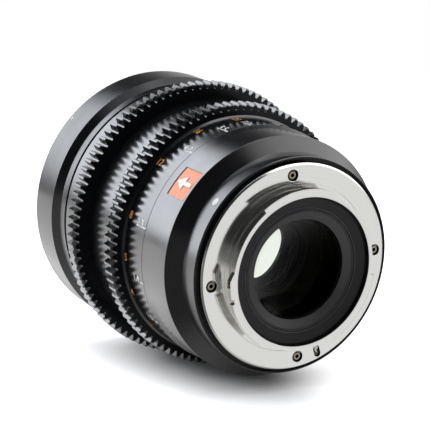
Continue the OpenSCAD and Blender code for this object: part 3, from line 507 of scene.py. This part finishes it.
METRES = ((127, "0.5"), (98, "0.7"), (73, "1.0"), (51.9, "1.4"), (26.1, "2.3"), (-14.3, "4.2"), (-34.1, "5.5"),
          (-46.3, "7.0"), (-61.5, "9.0"), (-85, "15"), (-135, "far"))
FEET = ((131, "1.5"), (106, "2"), (80, "3"), (61, "4"), (43.5, "5"), (23.4, "8"), (-4, "12"), (-27.1, "16"),
        (-47.4, "23"), (-72, "35"), (-98, "60"), (-135, "far"))
METRES_START = 28.4 * MM
METRES_BASE = -0.3 * MM
FEET_START = 33.3 * MM
TICK_FROM = 24.7 * MM
TICK_TO = 22.95 * MM
TICK_WIDTH = 0.42 * MM
marks_white = []
for turn, text in METRES:
    place = (SCALE_R, turn, METRES_START)
    marks_white.append(endless(*place) if text == "far" else numeral(text, *place, METRES_BASE))
    marks_white.append(stroke(SCALE_R, turn, TICK_FROM, TICK_TO, TICK_WIDTH))
marks_orange = []
for turn, text in FEET:
    place = (SCALE_R, turn, FEET_START)
    marks_orange.append(endless(*place) if text == "far" else numeral(text, *place, -NUMERAL / 2))
thin_piece("scale_metres", marks_white, white_ink, "focus_ring")
thin_piece("scale_feet", marks_orange, orange_ink, "focus_ring")


# Rear barrel: a plain sleeve seated on the main barrel, with a square enamelled plate let into it.
# The plate carries a plain pointer for the distance scale.
dress(black_anodised, "rear_barrel")

# A thin dust ring is pressed over its front end. It rises to the height of the scale and leaves a hair's
# gap to the focus ring.

# Rounded black: the barrel's anodising, polished over without a broken edge. The eye gets one even shine
# from the sleeve up to the gap.
rounded_black = black_anodised.copy()
rounded_black.name = "rounded_black_anodised_aluminium"
nodes = rounded_black.node_tree.nodes
nodes.remove(next(node for node in nodes if node.type == "BEVEL"))
DUST_FROM = 20.75 * MM
DUST_TO = 22.84 * MM
DUST_FOOT = 34.31 * MM
DUST_TOP = 34.86 * MM
DUST_IN = 33.3 * MM
DUST_SIDES = 256
turns = [2 * math.pi * k / DUST_SIDES for k in range(DUST_SIDES)]
section = ((DUST_FOOT, DUST_FROM), (DUST_TOP, DUST_TO), (DUST_TOP, DUST_TO), (DUST_IN, DUST_TO))
points = [(r * math.cos(a), y, r * math.sin(a)) for a in turns for r, y in section]
faces = []
for k in range(DUST_SIDES):
    here, there = 4 * k, 4 * ((k + 1) % DUST_SIDES)
    faces += [[here + c, here + c + 1, there + c + 1, there + c] for c in (0, 2)]
dust_ring = thin_piece("dust_ring", [(points, faces)], rounded_black, "lens_body")
dust_ring.data.polygons.foreach_set("use_smooth", [True] * len(faces))
normals = []
for a in turns:
    normals += [(math.cos(a), 0.0, math.sin(a))] * 2 + [(0.0, 1.0, 0.0)] * 2
dust_ring.data.normals_split_custom_set_from_vertices(normals)

# Orange enamel: a baked gloss coat on a thin plate. The eye gets a strong flat orange under a clear
# reflection, with an orange-peel surface of 0.6 mm, drawn as it is.
orange_enamel = empty_material("orange_enamel")
tree = orange_enamel.node_tree
spot = add(tree, "ShaderNodeTexCoord")
peel = add(tree, "ShaderNodeTexNoise", {"Vector": spot.outputs["Object"], "Scale": 1 / (0.6 * MM), "Detail": 1.0})
tone = add(tree, "ShaderNodeMix", {0: peel.outputs["Fac"], 6: linear("#de7a47"), 7: linear("#ea8a57")},
           data_type="RGBA")
relief = add(tree, "ShaderNodeBump", {"Strength": 0.06, "Distance": 0.02 * MM, "Height": peel.outputs["Fac"]})
skin = add(tree, "ShaderNodeBsdfPrincipled", {"Base Color": tone.outputs[2], "Roughness": 0.3, "IOR": 1.34,
                                              "Normal": relief.outputs["Normal"]})
add(tree, "ShaderNodeOutputMaterial", {"Surface": skin.outputs["BSDF"]})
dress(orange_enamel, "index_plate")

# The pointer is a white arrow that stands a little proud of the plate, with its tip towards the scale.
# Its corners are in millimetres along the axis and round it.
PLATE_R = 34.12 * MM
POINTER_RISE = 0.22 * MM
POINTER = ((19.6, 0.0), (15.9, -2.1), (15.9, -0.55), (12.6, -0.55), (12.6, 0.55), (15.9, 0.55), (15.9, 2.1))
corners = len(POINTER)
pointer = [wrap(PLATE_R + rise, 0.0, along * MM, across * MM)
           for rise in (0.0, POINTER_RISE) for along, across in POINTER]
pointer_faces = [list(range(corners, 2 * corners))[::-1]]
pointer_faces += [[k, corners + k, corners + (k + 1) % corners, (k + 1) % corners] for k in range(corners)]
thin_piece("plate_pointer", [(pointer, pointer_faces)], white_ink, "lens_body")


# Mount housing: the black piece that tapers down to the camera side, with a band for the mounting
# dot and a groove round the flange. It is turned, anodised and screwed to the rear barrel.

# Relieved black: the barrel's anodising on faces cut a few degrees towards the rear. The eye gets the same
# shine, turned away from the taper.
BAND_LEAN = -0.075
housing_black = black_anodised.copy()
housing_black.name = "relieved_black_anodised_aluminium"
tree = housing_black.node_tree
edge, bump = [next(node for node in tree.nodes if node.type == kind) for kind in ("BEVEL", "BUMP")]
lean = add(tree, "ShaderNodeVectorMath", {0: edge.outputs["Normal"], 1: (0.0, BAND_LEAN, 0.0)}, operation="ADD")
lean = add(tree, "ShaderNodeVectorMath", {0: lean.outputs["Vector"]}, operation="NORMALIZE")
tree.links.new(lean.outputs["Vector"], bump.inputs["Normal"])
dress(housing_black, "mount_housing")

BAND_R = 30.46 * MM
mounting_dot = oval(BAND_R + INK, turn=0.0, along=4.0 * MM, length=2.3 * MM, width=1.9 * MM)
thin_piece("mounting_dot", [mounting_dot], white_ink, "lens_body")


# Mount flange: the bayonet, milled and turned from stainless steel, with three lugs on its tube.
# Four socket screws hold it in countersunk seats.

# Turned stainless steel: fine rings about the axis. The eye gets a bright pale metal whose highlight
# spreads across the rings; their feed of 0.08 mm is drawn at 0.25 mm. The seats and the locking slot
# are painted dark: painted shade in the recesses.
SEAT_LEVEL = 0.5 * MM
SEAT_HALF_DEPTH = 0.45 * MM
SEAT_CIRCLE = 26.0 * MM
SEAT_HALF_WIDTH = 2.4 * MM
turned_steel = empty_material("turned_stainless_steel")
tree = turned_steel.node_tree
spot = add(tree, "ShaderNodeTexCoord")
parts = add(tree, "ShaderNodeSeparateXYZ", {"Vector": spot.outputs["Object"]})
across = add(tree, "ShaderNodeCombineXYZ", {"X": parts.outputs["X"], "Y": parts.outputs["Z"]})
radius = add(tree, "ShaderNodeVectorMath", {0: across.outputs["Vector"]}, operation="LENGTH")
ring_spot = add(tree, "ShaderNodeCombineXYZ", {"X": radius.outputs["Value"], "Y": parts.outputs["Y"]})
rings = add(tree, "ShaderNodeTexNoise", {"Vector": ring_spot.outputs["Vector"], "Scale": 1 / (0.25 * MM),
                                         "Detail": 2.0})
band = add(tree, "ShaderNodeMapRange", {"Value": rings.outputs["Fac"], "From Min": 0.3, "From Max": 0.7})
tone = add(tree, "ShaderNodeMix", {0: band.outputs["Result"], 6: linear("#d7d7d5"), 7: linear("#e4e3e0")},
           data_type="RGBA")
# Painted shade: the screw seats, found by depth and radius, are drawn a near-black brown.
sunk_shade_mask = add(tree, "ShaderNodeMath", {0: parts.outputs["Y"], 1: SEAT_LEVEL, 2: SEAT_HALF_DEPTH},
           operation="COMPARE")
outer = add(tree, "ShaderNodeMath", {0: radius.outputs["Value"], 1: SEAT_CIRCLE, 2: SEAT_HALF_WIDTH},
            operation="COMPARE")
seat = add(tree, "ShaderNodeMath", {0: sunk_shade_mask.outputs["Value"], 1: outer.outputs["Value"]}, operation="MULTIPLY")
tone = add(tree, "ShaderNodeMix", {0: seat.outputs["Value"], 6: tone.outputs[2], 7: linear("#1c1a18")},
           data_type="RGBA")
broken_edge = add(tree, "ShaderNodeBevel", {"Radius": 0.12 * MM}, samples=8)
gloss = add(tree, "ShaderNodeMapRange", {"Value": rings.outputs["Fac"], "To Min": 0.1, "To Max": 0.2})
relief = add(tree, "ShaderNodeBump", {"Strength": 0.05, "Distance": 0.01 * MM, "Height": rings.outputs["Fac"],
                                      "Normal": broken_edge.outputs["Normal"]})
feed = add(tree, "ShaderNodeTangent", direction_type="RADIAL", axis="Y")
skin = add(tree, "ShaderNodeBsdfPrincipled", {"Base Color": tone.outputs[2], "Metallic": 1.0,
                                              "Roughness": gloss.outputs["Result"], "Anisotropic": 0.5,
                                              "Tangent": feed.outputs["Tangent"],
                                              "Normal": relief.outputs["Normal"]})
add(tree, "ShaderNodeOutputMaterial", {"Surface": skin.outputs["BSDF"]})
dress(turned_steel, "mount_flange")

# Screw steel: browned in the heat treatment and faced bright on top. The eye gets a warm ring round a
# socket painted black as painted shade, with heat stains of 0.5 mm.
SOCKET_FLOOR = 0.33 * MM
screw_steel = empty_material("browned_screw_steel")
tree = screw_steel.node_tree
spot = add(tree, "ShaderNodeTexCoord")
heat = add(tree, "ShaderNodeTexNoise", {"Vector": spot.outputs["Object"], "Scale": 1 / (0.5 * MM), "Detail": 2.0})
tone = add(tree, "ShaderNodeMix", {0: heat.outputs["Fac"], 6: linear("#81786a"), 7: linear("#b5aa99")},
           data_type="RGBA")
parts = add(tree, "ShaderNodeSeparateXYZ", {"Vector": spot.outputs["Object"]})
# Painted shade: the part of the screw beyond the socket floor level is drawn near black.
sunk_shade_mask = add(tree, "ShaderNodeMath", {0: parts.outputs["Y"], 1: SOCKET_FLOOR}, operation="GREATER_THAN")
tone = add(tree, "ShaderNodeMix", {0: sunk_shade_mask.outputs["Value"], 6: tone.outputs[2], 7: linear("#151311")},
           data_type="RGBA")
gloss = add(tree, "ShaderNodeMapRange", {"Value": heat.outputs["Fac"], "To Min": 0.25, "To Max": 0.4})
skin = add(tree, "ShaderNodeBsdfPrincipled", {"Base Color": tone.outputs[2], "Metallic": 1.0,
                                              "Roughness": gloss.outputs["Result"]})
add(tree, "ShaderNodeOutputMaterial", {"Surface": skin.outputs["BSDF"]})
dress(screw_steel, "mount_screws")


# Rear glass: a cell with two elements, seated in the housing, behind a stepped light baffle that
# is pressed into the bayonet tube and blackened so that nothing shines towards the camera.
dress(optical_black, "rear_cell", "rear_spacer", "rear_lock_ring")

# Baffle paint: a thin matt coat over fine turned steps, smoother on the cone, with a painted highlight on the two
# ridges.
# The eye gets a dark grey that takes the light from above, with rings whose 0.35 mm pitch is drawn as it is.
RING_PITCH = 0.35 * MM
CONE_R = 16.4 * MM
RIDGE_R = 17.0 * MM
RIDGE_APART = 0.32 * MM
RIDGE_HALF = 0.14 * MM
baffle_paint = empty_material("matt_baffle_paint")
tree = baffle_paint.node_tree
spot = add(tree, "ShaderNodeTexCoord")
parts = add(tree, "ShaderNodeSeparateXYZ", {"Vector": spot.outputs["Object"]})
across = add(tree, "ShaderNodeCombineXYZ", {"X": parts.outputs["X"], "Y": parts.outputs["Z"]})
radius = add(tree, "ShaderNodeVectorMath", {0: across.outputs["Vector"]}, operation="LENGTH")
phase = add(tree, "ShaderNodeMath", {0: radius.outputs["Value"], 1: 2 * math.pi / RING_PITCH},
            operation="MULTIPLY")
rings = add(tree, "ShaderNodeMath", {0: phase.outputs["Value"]}, operation="SINE")
grain = add(tree, "ShaderNodeTexNoise", {"Vector": spot.outputs["Object"], "Scale": 1 / (0.4 * MM), "Detail": 3.0})
cone = add(tree, "ShaderNodeMath", {0: radius.outputs["Value"], 1: CONE_R}, operation="LESS_THAN")
coat = add(tree, "ShaderNodeMix", {0: cone.outputs["Value"], 6: linear("#2c2c2d"), 7: linear("#323134")},
           data_type="RGBA")
# Painted highlight: two thin rings at the ridge radius are drawn light grey.
painted_ridge_highlight = add(tree, "ShaderNodeMath", {0: radius.outputs["Value"], 1: RIDGE_R}, operation="SUBTRACT")
painted_ridge_highlight = add(tree, "ShaderNodeMath", {0: painted_ridge_highlight.outputs["Value"]}, operation="ABSOLUTE")
painted_ridge_highlight = add(tree, "ShaderNodeMath", {0: painted_ridge_highlight.outputs["Value"], 1: RIDGE_APART, 2: RIDGE_HALF},
            operation="COMPARE")
coat = add(tree, "ShaderNodeMix", {0: painted_ridge_highlight.outputs["Value"], 6: coat.outputs[2], 7: linear("#77767a")},
           data_type="RGBA")
gleam = add(tree, "ShaderNodeMapRange", {"Value": cone.outputs["Value"], "To Min": 0.2, "To Max": 0.6})
tone = add(tree, "ShaderNodeMix", {0: grain.outputs["Fac"], 6: linear("#202021"), 7: coat.outputs[2]},
           data_type="RGBA")
relief = add(tree, "ShaderNodeBump", {"Strength": 0.35, "Distance": 0.05 * MM, "Height": rings.outputs["Value"]})
skin = add(tree, "ShaderNodeBsdfPrincipled", {"Base Color": tone.outputs[2], "Roughness": 0.5,
                                              "Specular IOR Level": gleam.outputs["Result"],
                                              "Normal": relief.outputs["Normal"]})
add(tree, "ShaderNodeOutputMaterial", {"Surface": skin.outputs["BSDF"]})
dress(baffle_paint, "rear_baffle")
glass_element("inner_rear_element", "lens_body", radius=15.5 * MM, seat=5.2 * MM, edge=3.0 * MM,
              front_curve=-95 * MM, rear_curve=-165 * MM, material=coated_glass("inner_rear", 1.72))
glass_element("rear_element", "lens_body", radius=14.8 * MM, seat=-0.8 * MM, edge=3.2 * MM,
              front_curve=76 * MM, rear_curve=-30 * MM, material=coated_glass("rear", 1.73))


# Floor: a pale studio sweep of matt paper. The lens lies on both its gears with the camera side lower,
# so the floor is tilted in the lens's own frame.
FLOOR_NORMAL = Vector((0.0813, 0.1457, 0.9855)).normalized()
FLOOR_LEVEL = -0.03342
FLOOR_HALF = 4.0
floor_turn = Vector((0, 0, 1)).rotation_difference(FLOOR_NORMAL).to_matrix().to_4x4()
floor_mesh = bpy.data.meshes.new("studio_floor")
floor_mesh.from_pydata([(-FLOOR_HALF, -FLOOR_HALF, 0), (FLOOR_HALF, -FLOOR_HALF, 0), (FLOOR_HALF, FLOOR_HALF, 0),
                        (-FLOOR_HALF, FLOOR_HALF, 0)], [], [[0, 1, 2, 3]])
floor = bpy.data.objects.new("studio_floor", floor_mesh)
floor.matrix_world = Matrix.Translation(FLOOR_NORMAL * FLOOR_LEVEL) @ floor_turn
bpy.context.scene.collection.objects.link(floor)

# Studio paper: matt and white. Seen directly it is lifted to white away from the lens, and left as it is in
# the shadow. Metal and glass see it brighter on the side of the big soft box, and what passes through glass
# sees it dark behind the lens, which keeps grain out of the bore.
# The shadow lies round a middle line that bends behind SHADOW_BEND. It reaches farther ahead and behind than
# beside the lens, and less far on the right, by the factors below.
LENS_MIDDLE = 0.030
SHADOW_MIDDLE = -0.004
SHADOW_BEND = 0.012
SHADOW_SKEW = 0.4
SHADOW_AHEAD = 0.42
SHADOW_BEHIND = 0.6
SHADOW_CORE = 0.003
SHADOW_RIGHT = 1.8
MIRRORED_RIGHT = 0.95
pale_floor = empty_material("pale_studio_paper")
tree = pale_floor.node_tree
spot = add(tree, "ShaderNodeNewGeometry")
parts = add(tree, "ShaderNodeSeparateXYZ", {"Vector": spot.outputs["Position"]})
along = add(tree, "ShaderNodeMath", {0: parts.outputs["Y"], 1: LENS_MIDDLE}, operation="SUBTRACT")
fore = add(tree, "ShaderNodeMath", {0: along.outputs["Value"], 1: SHADOW_AHEAD}, operation="MULTIPLY")
aft = add(tree, "ShaderNodeMath", {0: along.outputs["Value"], 1: -SHADOW_BEHIND}, operation="MULTIPLY")
along = add(tree, "ShaderNodeMath", {0: fore.outputs["Value"], 1: aft.outputs["Value"]}, operation="MAXIMUM")
along = add(tree, "ShaderNodeMath", {0: along.outputs["Value"], 1: SHADOW_CORE}, operation="SUBTRACT")
along = add(tree, "ShaderNodeMath", {0: along.outputs["Value"], 1: 0.0}, operation="MAXIMUM")
end = add(tree, "ShaderNodeMath", {0: parts.outputs["Y"], 1: SHADOW_BEND}, operation="MINIMUM")
end = add(tree, "ShaderNodeMath", {0: end.outputs["Value"], 1: SHADOW_BEND}, operation="SUBTRACT")
middle = add(tree, "ShaderNodeMath", {0: end.outputs["Value"], 1: SHADOW_SKEW, 2: SHADOW_MIDDLE},
             operation="MULTIPLY_ADD")
beside = add(tree, "ShaderNodeMath", {0: parts.outputs["X"], 1: middle.outputs["Value"]}, operation="SUBTRACT")
right = add(tree, "ShaderNodeMath", {0: beside.outputs["Value"], 1: SHADOW_RIGHT}, operation="MULTIPLY")
left = add(tree, "ShaderNodeMath", {0: beside.outputs["Value"], 1: -1.0}, operation="MULTIPLY")
beside = add(tree, "ShaderNodeMath", {0: right.outputs["Value"], 1: left.outputs["Value"]}, operation="MAXIMUM")
flat = add(tree, "ShaderNodeCombineXYZ", {"X": beside.outputs["Value"], "Y": along.outputs["Value"]})
away = add(tree, "ShaderNodeVectorMath", {0: flat.outputs["Vector"]}, operation="LENGTH")
lift = add(tree, "ShaderNodeMapRange", {"Value": away.outputs["Value"], "From Min": 0.006, "From Max": 0.05,
                                        "To Max": 0.9}, interpolation_type="SMOOTHSTEP")
path = add(tree, "ShaderNodeLightPath")
seen = add(tree, "ShaderNodeMath", {0: lift.outputs["Result"], 1: path.outputs["Is Camera Ray"]},
           operation="MULTIPLY")
paper = add(tree, "ShaderNodeBsdfDiffuse", {"Color": linear("#f4f4f4")})
glow = add(tree, "ShaderNodeEmission", {"Color": linear("#ffffff"), "Strength": seen.outputs["Value"]})
both = add(tree, "ShaderNodeAddShader", {0: paper.outputs["BSDF"], 1: glow.outputs["Emission"]})
ahead = add(tree, "ShaderNodeMapRange", {"Value": parts.outputs["Y"], "From Min": 0.005, "From Max": 0.085,
                                         "To Min": 0.2, "To Max": 2.1}, interpolation_type="SMOOTHSTEP")
behind = add(tree, "ShaderNodeMapRange", {"Value": parts.outputs["Y"], "From Min": -0.026, "From Max": -0.08,
                                          "To Min": 0.03, "To Max": 0.09})
aside = add(tree, "ShaderNodeMath", {0: parts.outputs["X"], 1: behind.outputs["Result"]}, operation="ADD")
aside = add(tree, "ShaderNodeMapRange", {"Value": aside.outputs["Value"], "From Min": -0.015, "From Max": 0.015},
            interpolation_type="SMOOTHSTEP")
mirrored = add(tree, "ShaderNodeMix", {0: aside.outputs["Result"], 2: ahead.outputs["Result"], 3: MIRRORED_RIGHT},
               data_type="FLOAT")
shade = add(tree, "ShaderNodeMapRange", {"Value": away.outputs["Value"], "From Min": 0.004, "From Max": 0.03,
                                         "To Min": 0.06, "To Max": 1.0}, interpolation_type="SMOOTHSTEP")
mirrored = add(tree, "ShaderNodeMath", {0: mirrored.outputs[0], 1: shade.outputs["Result"]},
               operation="MULTIPLY")
rear = add(tree, "ShaderNodeMapRange", {"Value": parts.outputs["Y"], "From Min": 0.0, "From Max": -0.05})
rear = add(tree, "ShaderNodeMath", {0: rear.outputs["Result"], 1: path.outputs["Is Transmission Ray"]},
           operation="MULTIPLY")
front = add(tree, "ShaderNodeMath", {0: 1.0, 1: rear.outputs["Value"]}, operation="SUBTRACT")
mirrored = add(tree, "ShaderNodeMath", {0: mirrored.outputs["Value"], 1: front.outputs["Value"]},
               operation="MULTIPLY")
mirrored = add(tree, "ShaderNodeEmission", {"Color": linear("#ffffff"), "Strength": mirrored.outputs["Value"]})
shown = add(tree, "ShaderNodeMath", {0: path.outputs["Is Glossy Ray"], 1: path.outputs["Is Transmission Ray"]},
            operation="MAXIMUM")
either = add(tree, "ShaderNodeMixShader", {0: shown.outputs["Value"], 1: both.outputs["Shader"],
                                           2: mirrored.outputs["Emission"]})
add(tree, "ShaderNodeOutputMaterial", {"Surface": either.outputs["Shader"]})
floor_mesh.materials.append(pale_floor)


# Studio: a white sweep seen directly, a pale low wall ahead that metal and glass show, and a dim
# room elsewhere. A long panel on the right, from overhead down to the floor, shines on what leans to
# the rear. Its edges are faded: axis of the lens, where a direction has none of it, and where all.
PANEL = (("X", 0.06, 0.26), ("Y", -0.7, -0.4), ("Y", 0.62, 0.42), ("Z", -0.02, 0.3))
PANEL_RADIANCE = 2.6
ROOM_RADIANCE = 0.28
WALL_BEHIND = 0.03
studio = bpy.data.worlds.new("studio")
bpy.context.scene.world = studio
studio.use_nodes = True
tree = studio.node_tree
tree.nodes.clear()
spot = add(tree, "ShaderNodeTexCoord")
parts = add(tree, "ShaderNodeSeparateXYZ", {"Vector": spot.outputs["Generated"]})
wall = add(tree, "ShaderNodeMapRange", {"Value": parts.outputs["Z"], "From Min": 0.4, "From Max": -0.05,
                                        "To Min": 0.035, "To Max": 0.62}, interpolation_type="SMOOTHSTEP")
front = add(tree, "ShaderNodeMapRange", {"Value": parts.outputs["Y"], "From Min": -0.25, "From Max": 0.15},
            interpolation_type="SMOOTHSTEP")
wall = add(tree, "ShaderNodeMix", {0: front.outputs["Result"], 2: WALL_BEHIND, 3: wall.outputs["Result"]},
           data_type="FLOAT")
panel = PANEL_RADIANCE
for axis, none, full in PANEL:
    edge = add(tree, "ShaderNodeMapRange", {"Value": parts.outputs[axis], "From Min": none, "From Max": full},
               interpolation_type="SMOOTHSTEP")
    panel = add(tree, "ShaderNodeMath", {0: edge.outputs["Result"], 1: panel},
                operation="MULTIPLY").outputs["Value"]
wall = add(tree, "ShaderNodeMath", {0: wall.outputs[0], 1: panel}, operation="ADD")
path = add(tree, "ShaderNodeLightPath")
glossy = add(tree, "ShaderNodeMix", {0: path.outputs["Is Glossy Ray"], 2: ROOM_RADIANCE, 3: wall.outputs["Value"]},
             data_type="FLOAT")
sweep = add(tree, "ShaderNodeMapRange", {"Value": parts.outputs["Y"], "From Min": 0.5, "From Max": 0.7,
                                         "To Min": 0.02, "To Max": 1.0}, interpolation_type="SMOOTHSTEP")
through = add(tree, "ShaderNodeMix", {0: path.outputs["Is Transmission Ray"], 2: glossy.outputs[0],
                                      3: sweep.outputs["Result"]}, data_type="FLOAT")
level = add(tree, "ShaderNodeMix", {0: path.outputs["Is Camera Ray"], 2: through.outputs[0], 3: 1.0},
            data_type="FLOAT")
sky = add(tree, "ShaderNodeBackground", {"Color": linear("#ffffff"), "Strength": level.outputs[0]})
add(tree, "ShaderNodeOutputWorld", {"Surface": sky.outputs["Background"]})

# Lamps: a big soft box low ahead on the left, whose right side leans outwards, and a wide one overhead.
# A row gives azimuth and height in degrees, distance, width and height in metres, radiance and lean, and
# where the right, left, lower and upper edges start and end to fade, in metres from the middle.
LAMPS = (("soft_box_left", -19.0, 19.0, 0.95, 1.2, 0.92, 5.7, 0.94,
          ((0.19, -0.03), (-0.6, -0.52), (-0.46, -0.25), (0.46, 0.3))),
         ("soft_box_overhead", -10.0, 82.0, 1.1, 1.3, 1.3, 2.6, 0.0,
          ((0.65, 0.2), (-0.65, -0.2), (-0.65, -0.2), (0.65, 0.2))))
LAMPS_AIM = Vector((0, 0.04, 0))
for name, azimuth, height, distance, wide, tall, radiance, lean, fades in LAMPS:
    lamp = bpy.data.lights.new(name, "AREA")
    lamp.shape = "RECTANGLE"
    lamp.size = wide
    lamp.size_y = tall
    lamp.energy = math.pi * wide * tall
    lamp.use_nodes = True
    tree = lamp.node_tree
    tree.nodes.clear()
    spot = add(tree, "ShaderNodeNewGeometry")
    parts = add(tree, "ShaderNodeSeparateXYZ", {"Vector": spot.outputs["Parametric"]})
    across = add(tree, "ShaderNodeMapRange", {"Value": parts.outputs["X"],
                                              "To Min": wide / 2, "To Max": -wide / 2})
    up = add(tree, "ShaderNodeMapRange", {"Value": parts.outputs["Y"], "To Min": -tall / 2, "To Max": tall / 2})
    shift = add(tree, "ShaderNodeMath", {0: up.outputs["Result"], 1: -lean, 2: across.outputs["Result"]},
                operation="MULTIPLY_ADD")
    power = radiance
    places = (shift.outputs["Value"], across.outputs["Result"], up.outputs["Result"], up.outputs["Result"])
    for place, (none, full) in zip(places, fades):
        edge = add(tree, "ShaderNodeMapRange", {"Value": place, "From Min": none, "From Max": full},
                   interpolation_type="SMOOTHSTEP")
        power = add(tree, "ShaderNodeMath", {0: edge.outputs["Result"], 1: power},
                    operation="MULTIPLY").outputs["Value"]
    shine = add(tree, "ShaderNodeEmission", {"Color": linear("#f4f8ff"), "Strength": power})
    add(tree, "ShaderNodeOutputLight", {"Surface": shine.outputs["Emission"]})
    lit = bpy.data.objects.new(name, lamp)
    a, h = math.radians(azimuth), math.radians(height)
    towards = Vector((math.sin(a) * math.cos(h), math.cos(a) * math.cos(h), math.sin(h)))
    lit.location = towards * distance + LAMPS_AIM
    lit.rotation_euler = towards.to_track_quat("Z", "Y").to_euler()
    lit.visible_camera = False
    bpy.context.scene.collection.objects.link(lit)


# Camera: a short telephoto on a full-frame body, close behind the mount and a little above it.
# It looks along the left side of the lens, where the scale and the plate are.
view = bpy.data.cameras.new("camera")
view.sensor_width = 36.0
view.lens = 125.58
camera = bpy.data.objects.new("camera", view)
camera.location = (-0.2068, -0.32565, 0.1251)
camera.rotation_euler = Vector((0.46894, 0.83924, -0.27528)).to_track_quat("-Z", "Y").to_euler()
bpy.context.scene.collection.objects.link(camera)
bpy.context.scene.camera = camera
bpy.context.scene.view_settings.view_transform = "Standard"

bpy.context.view_layer.update()
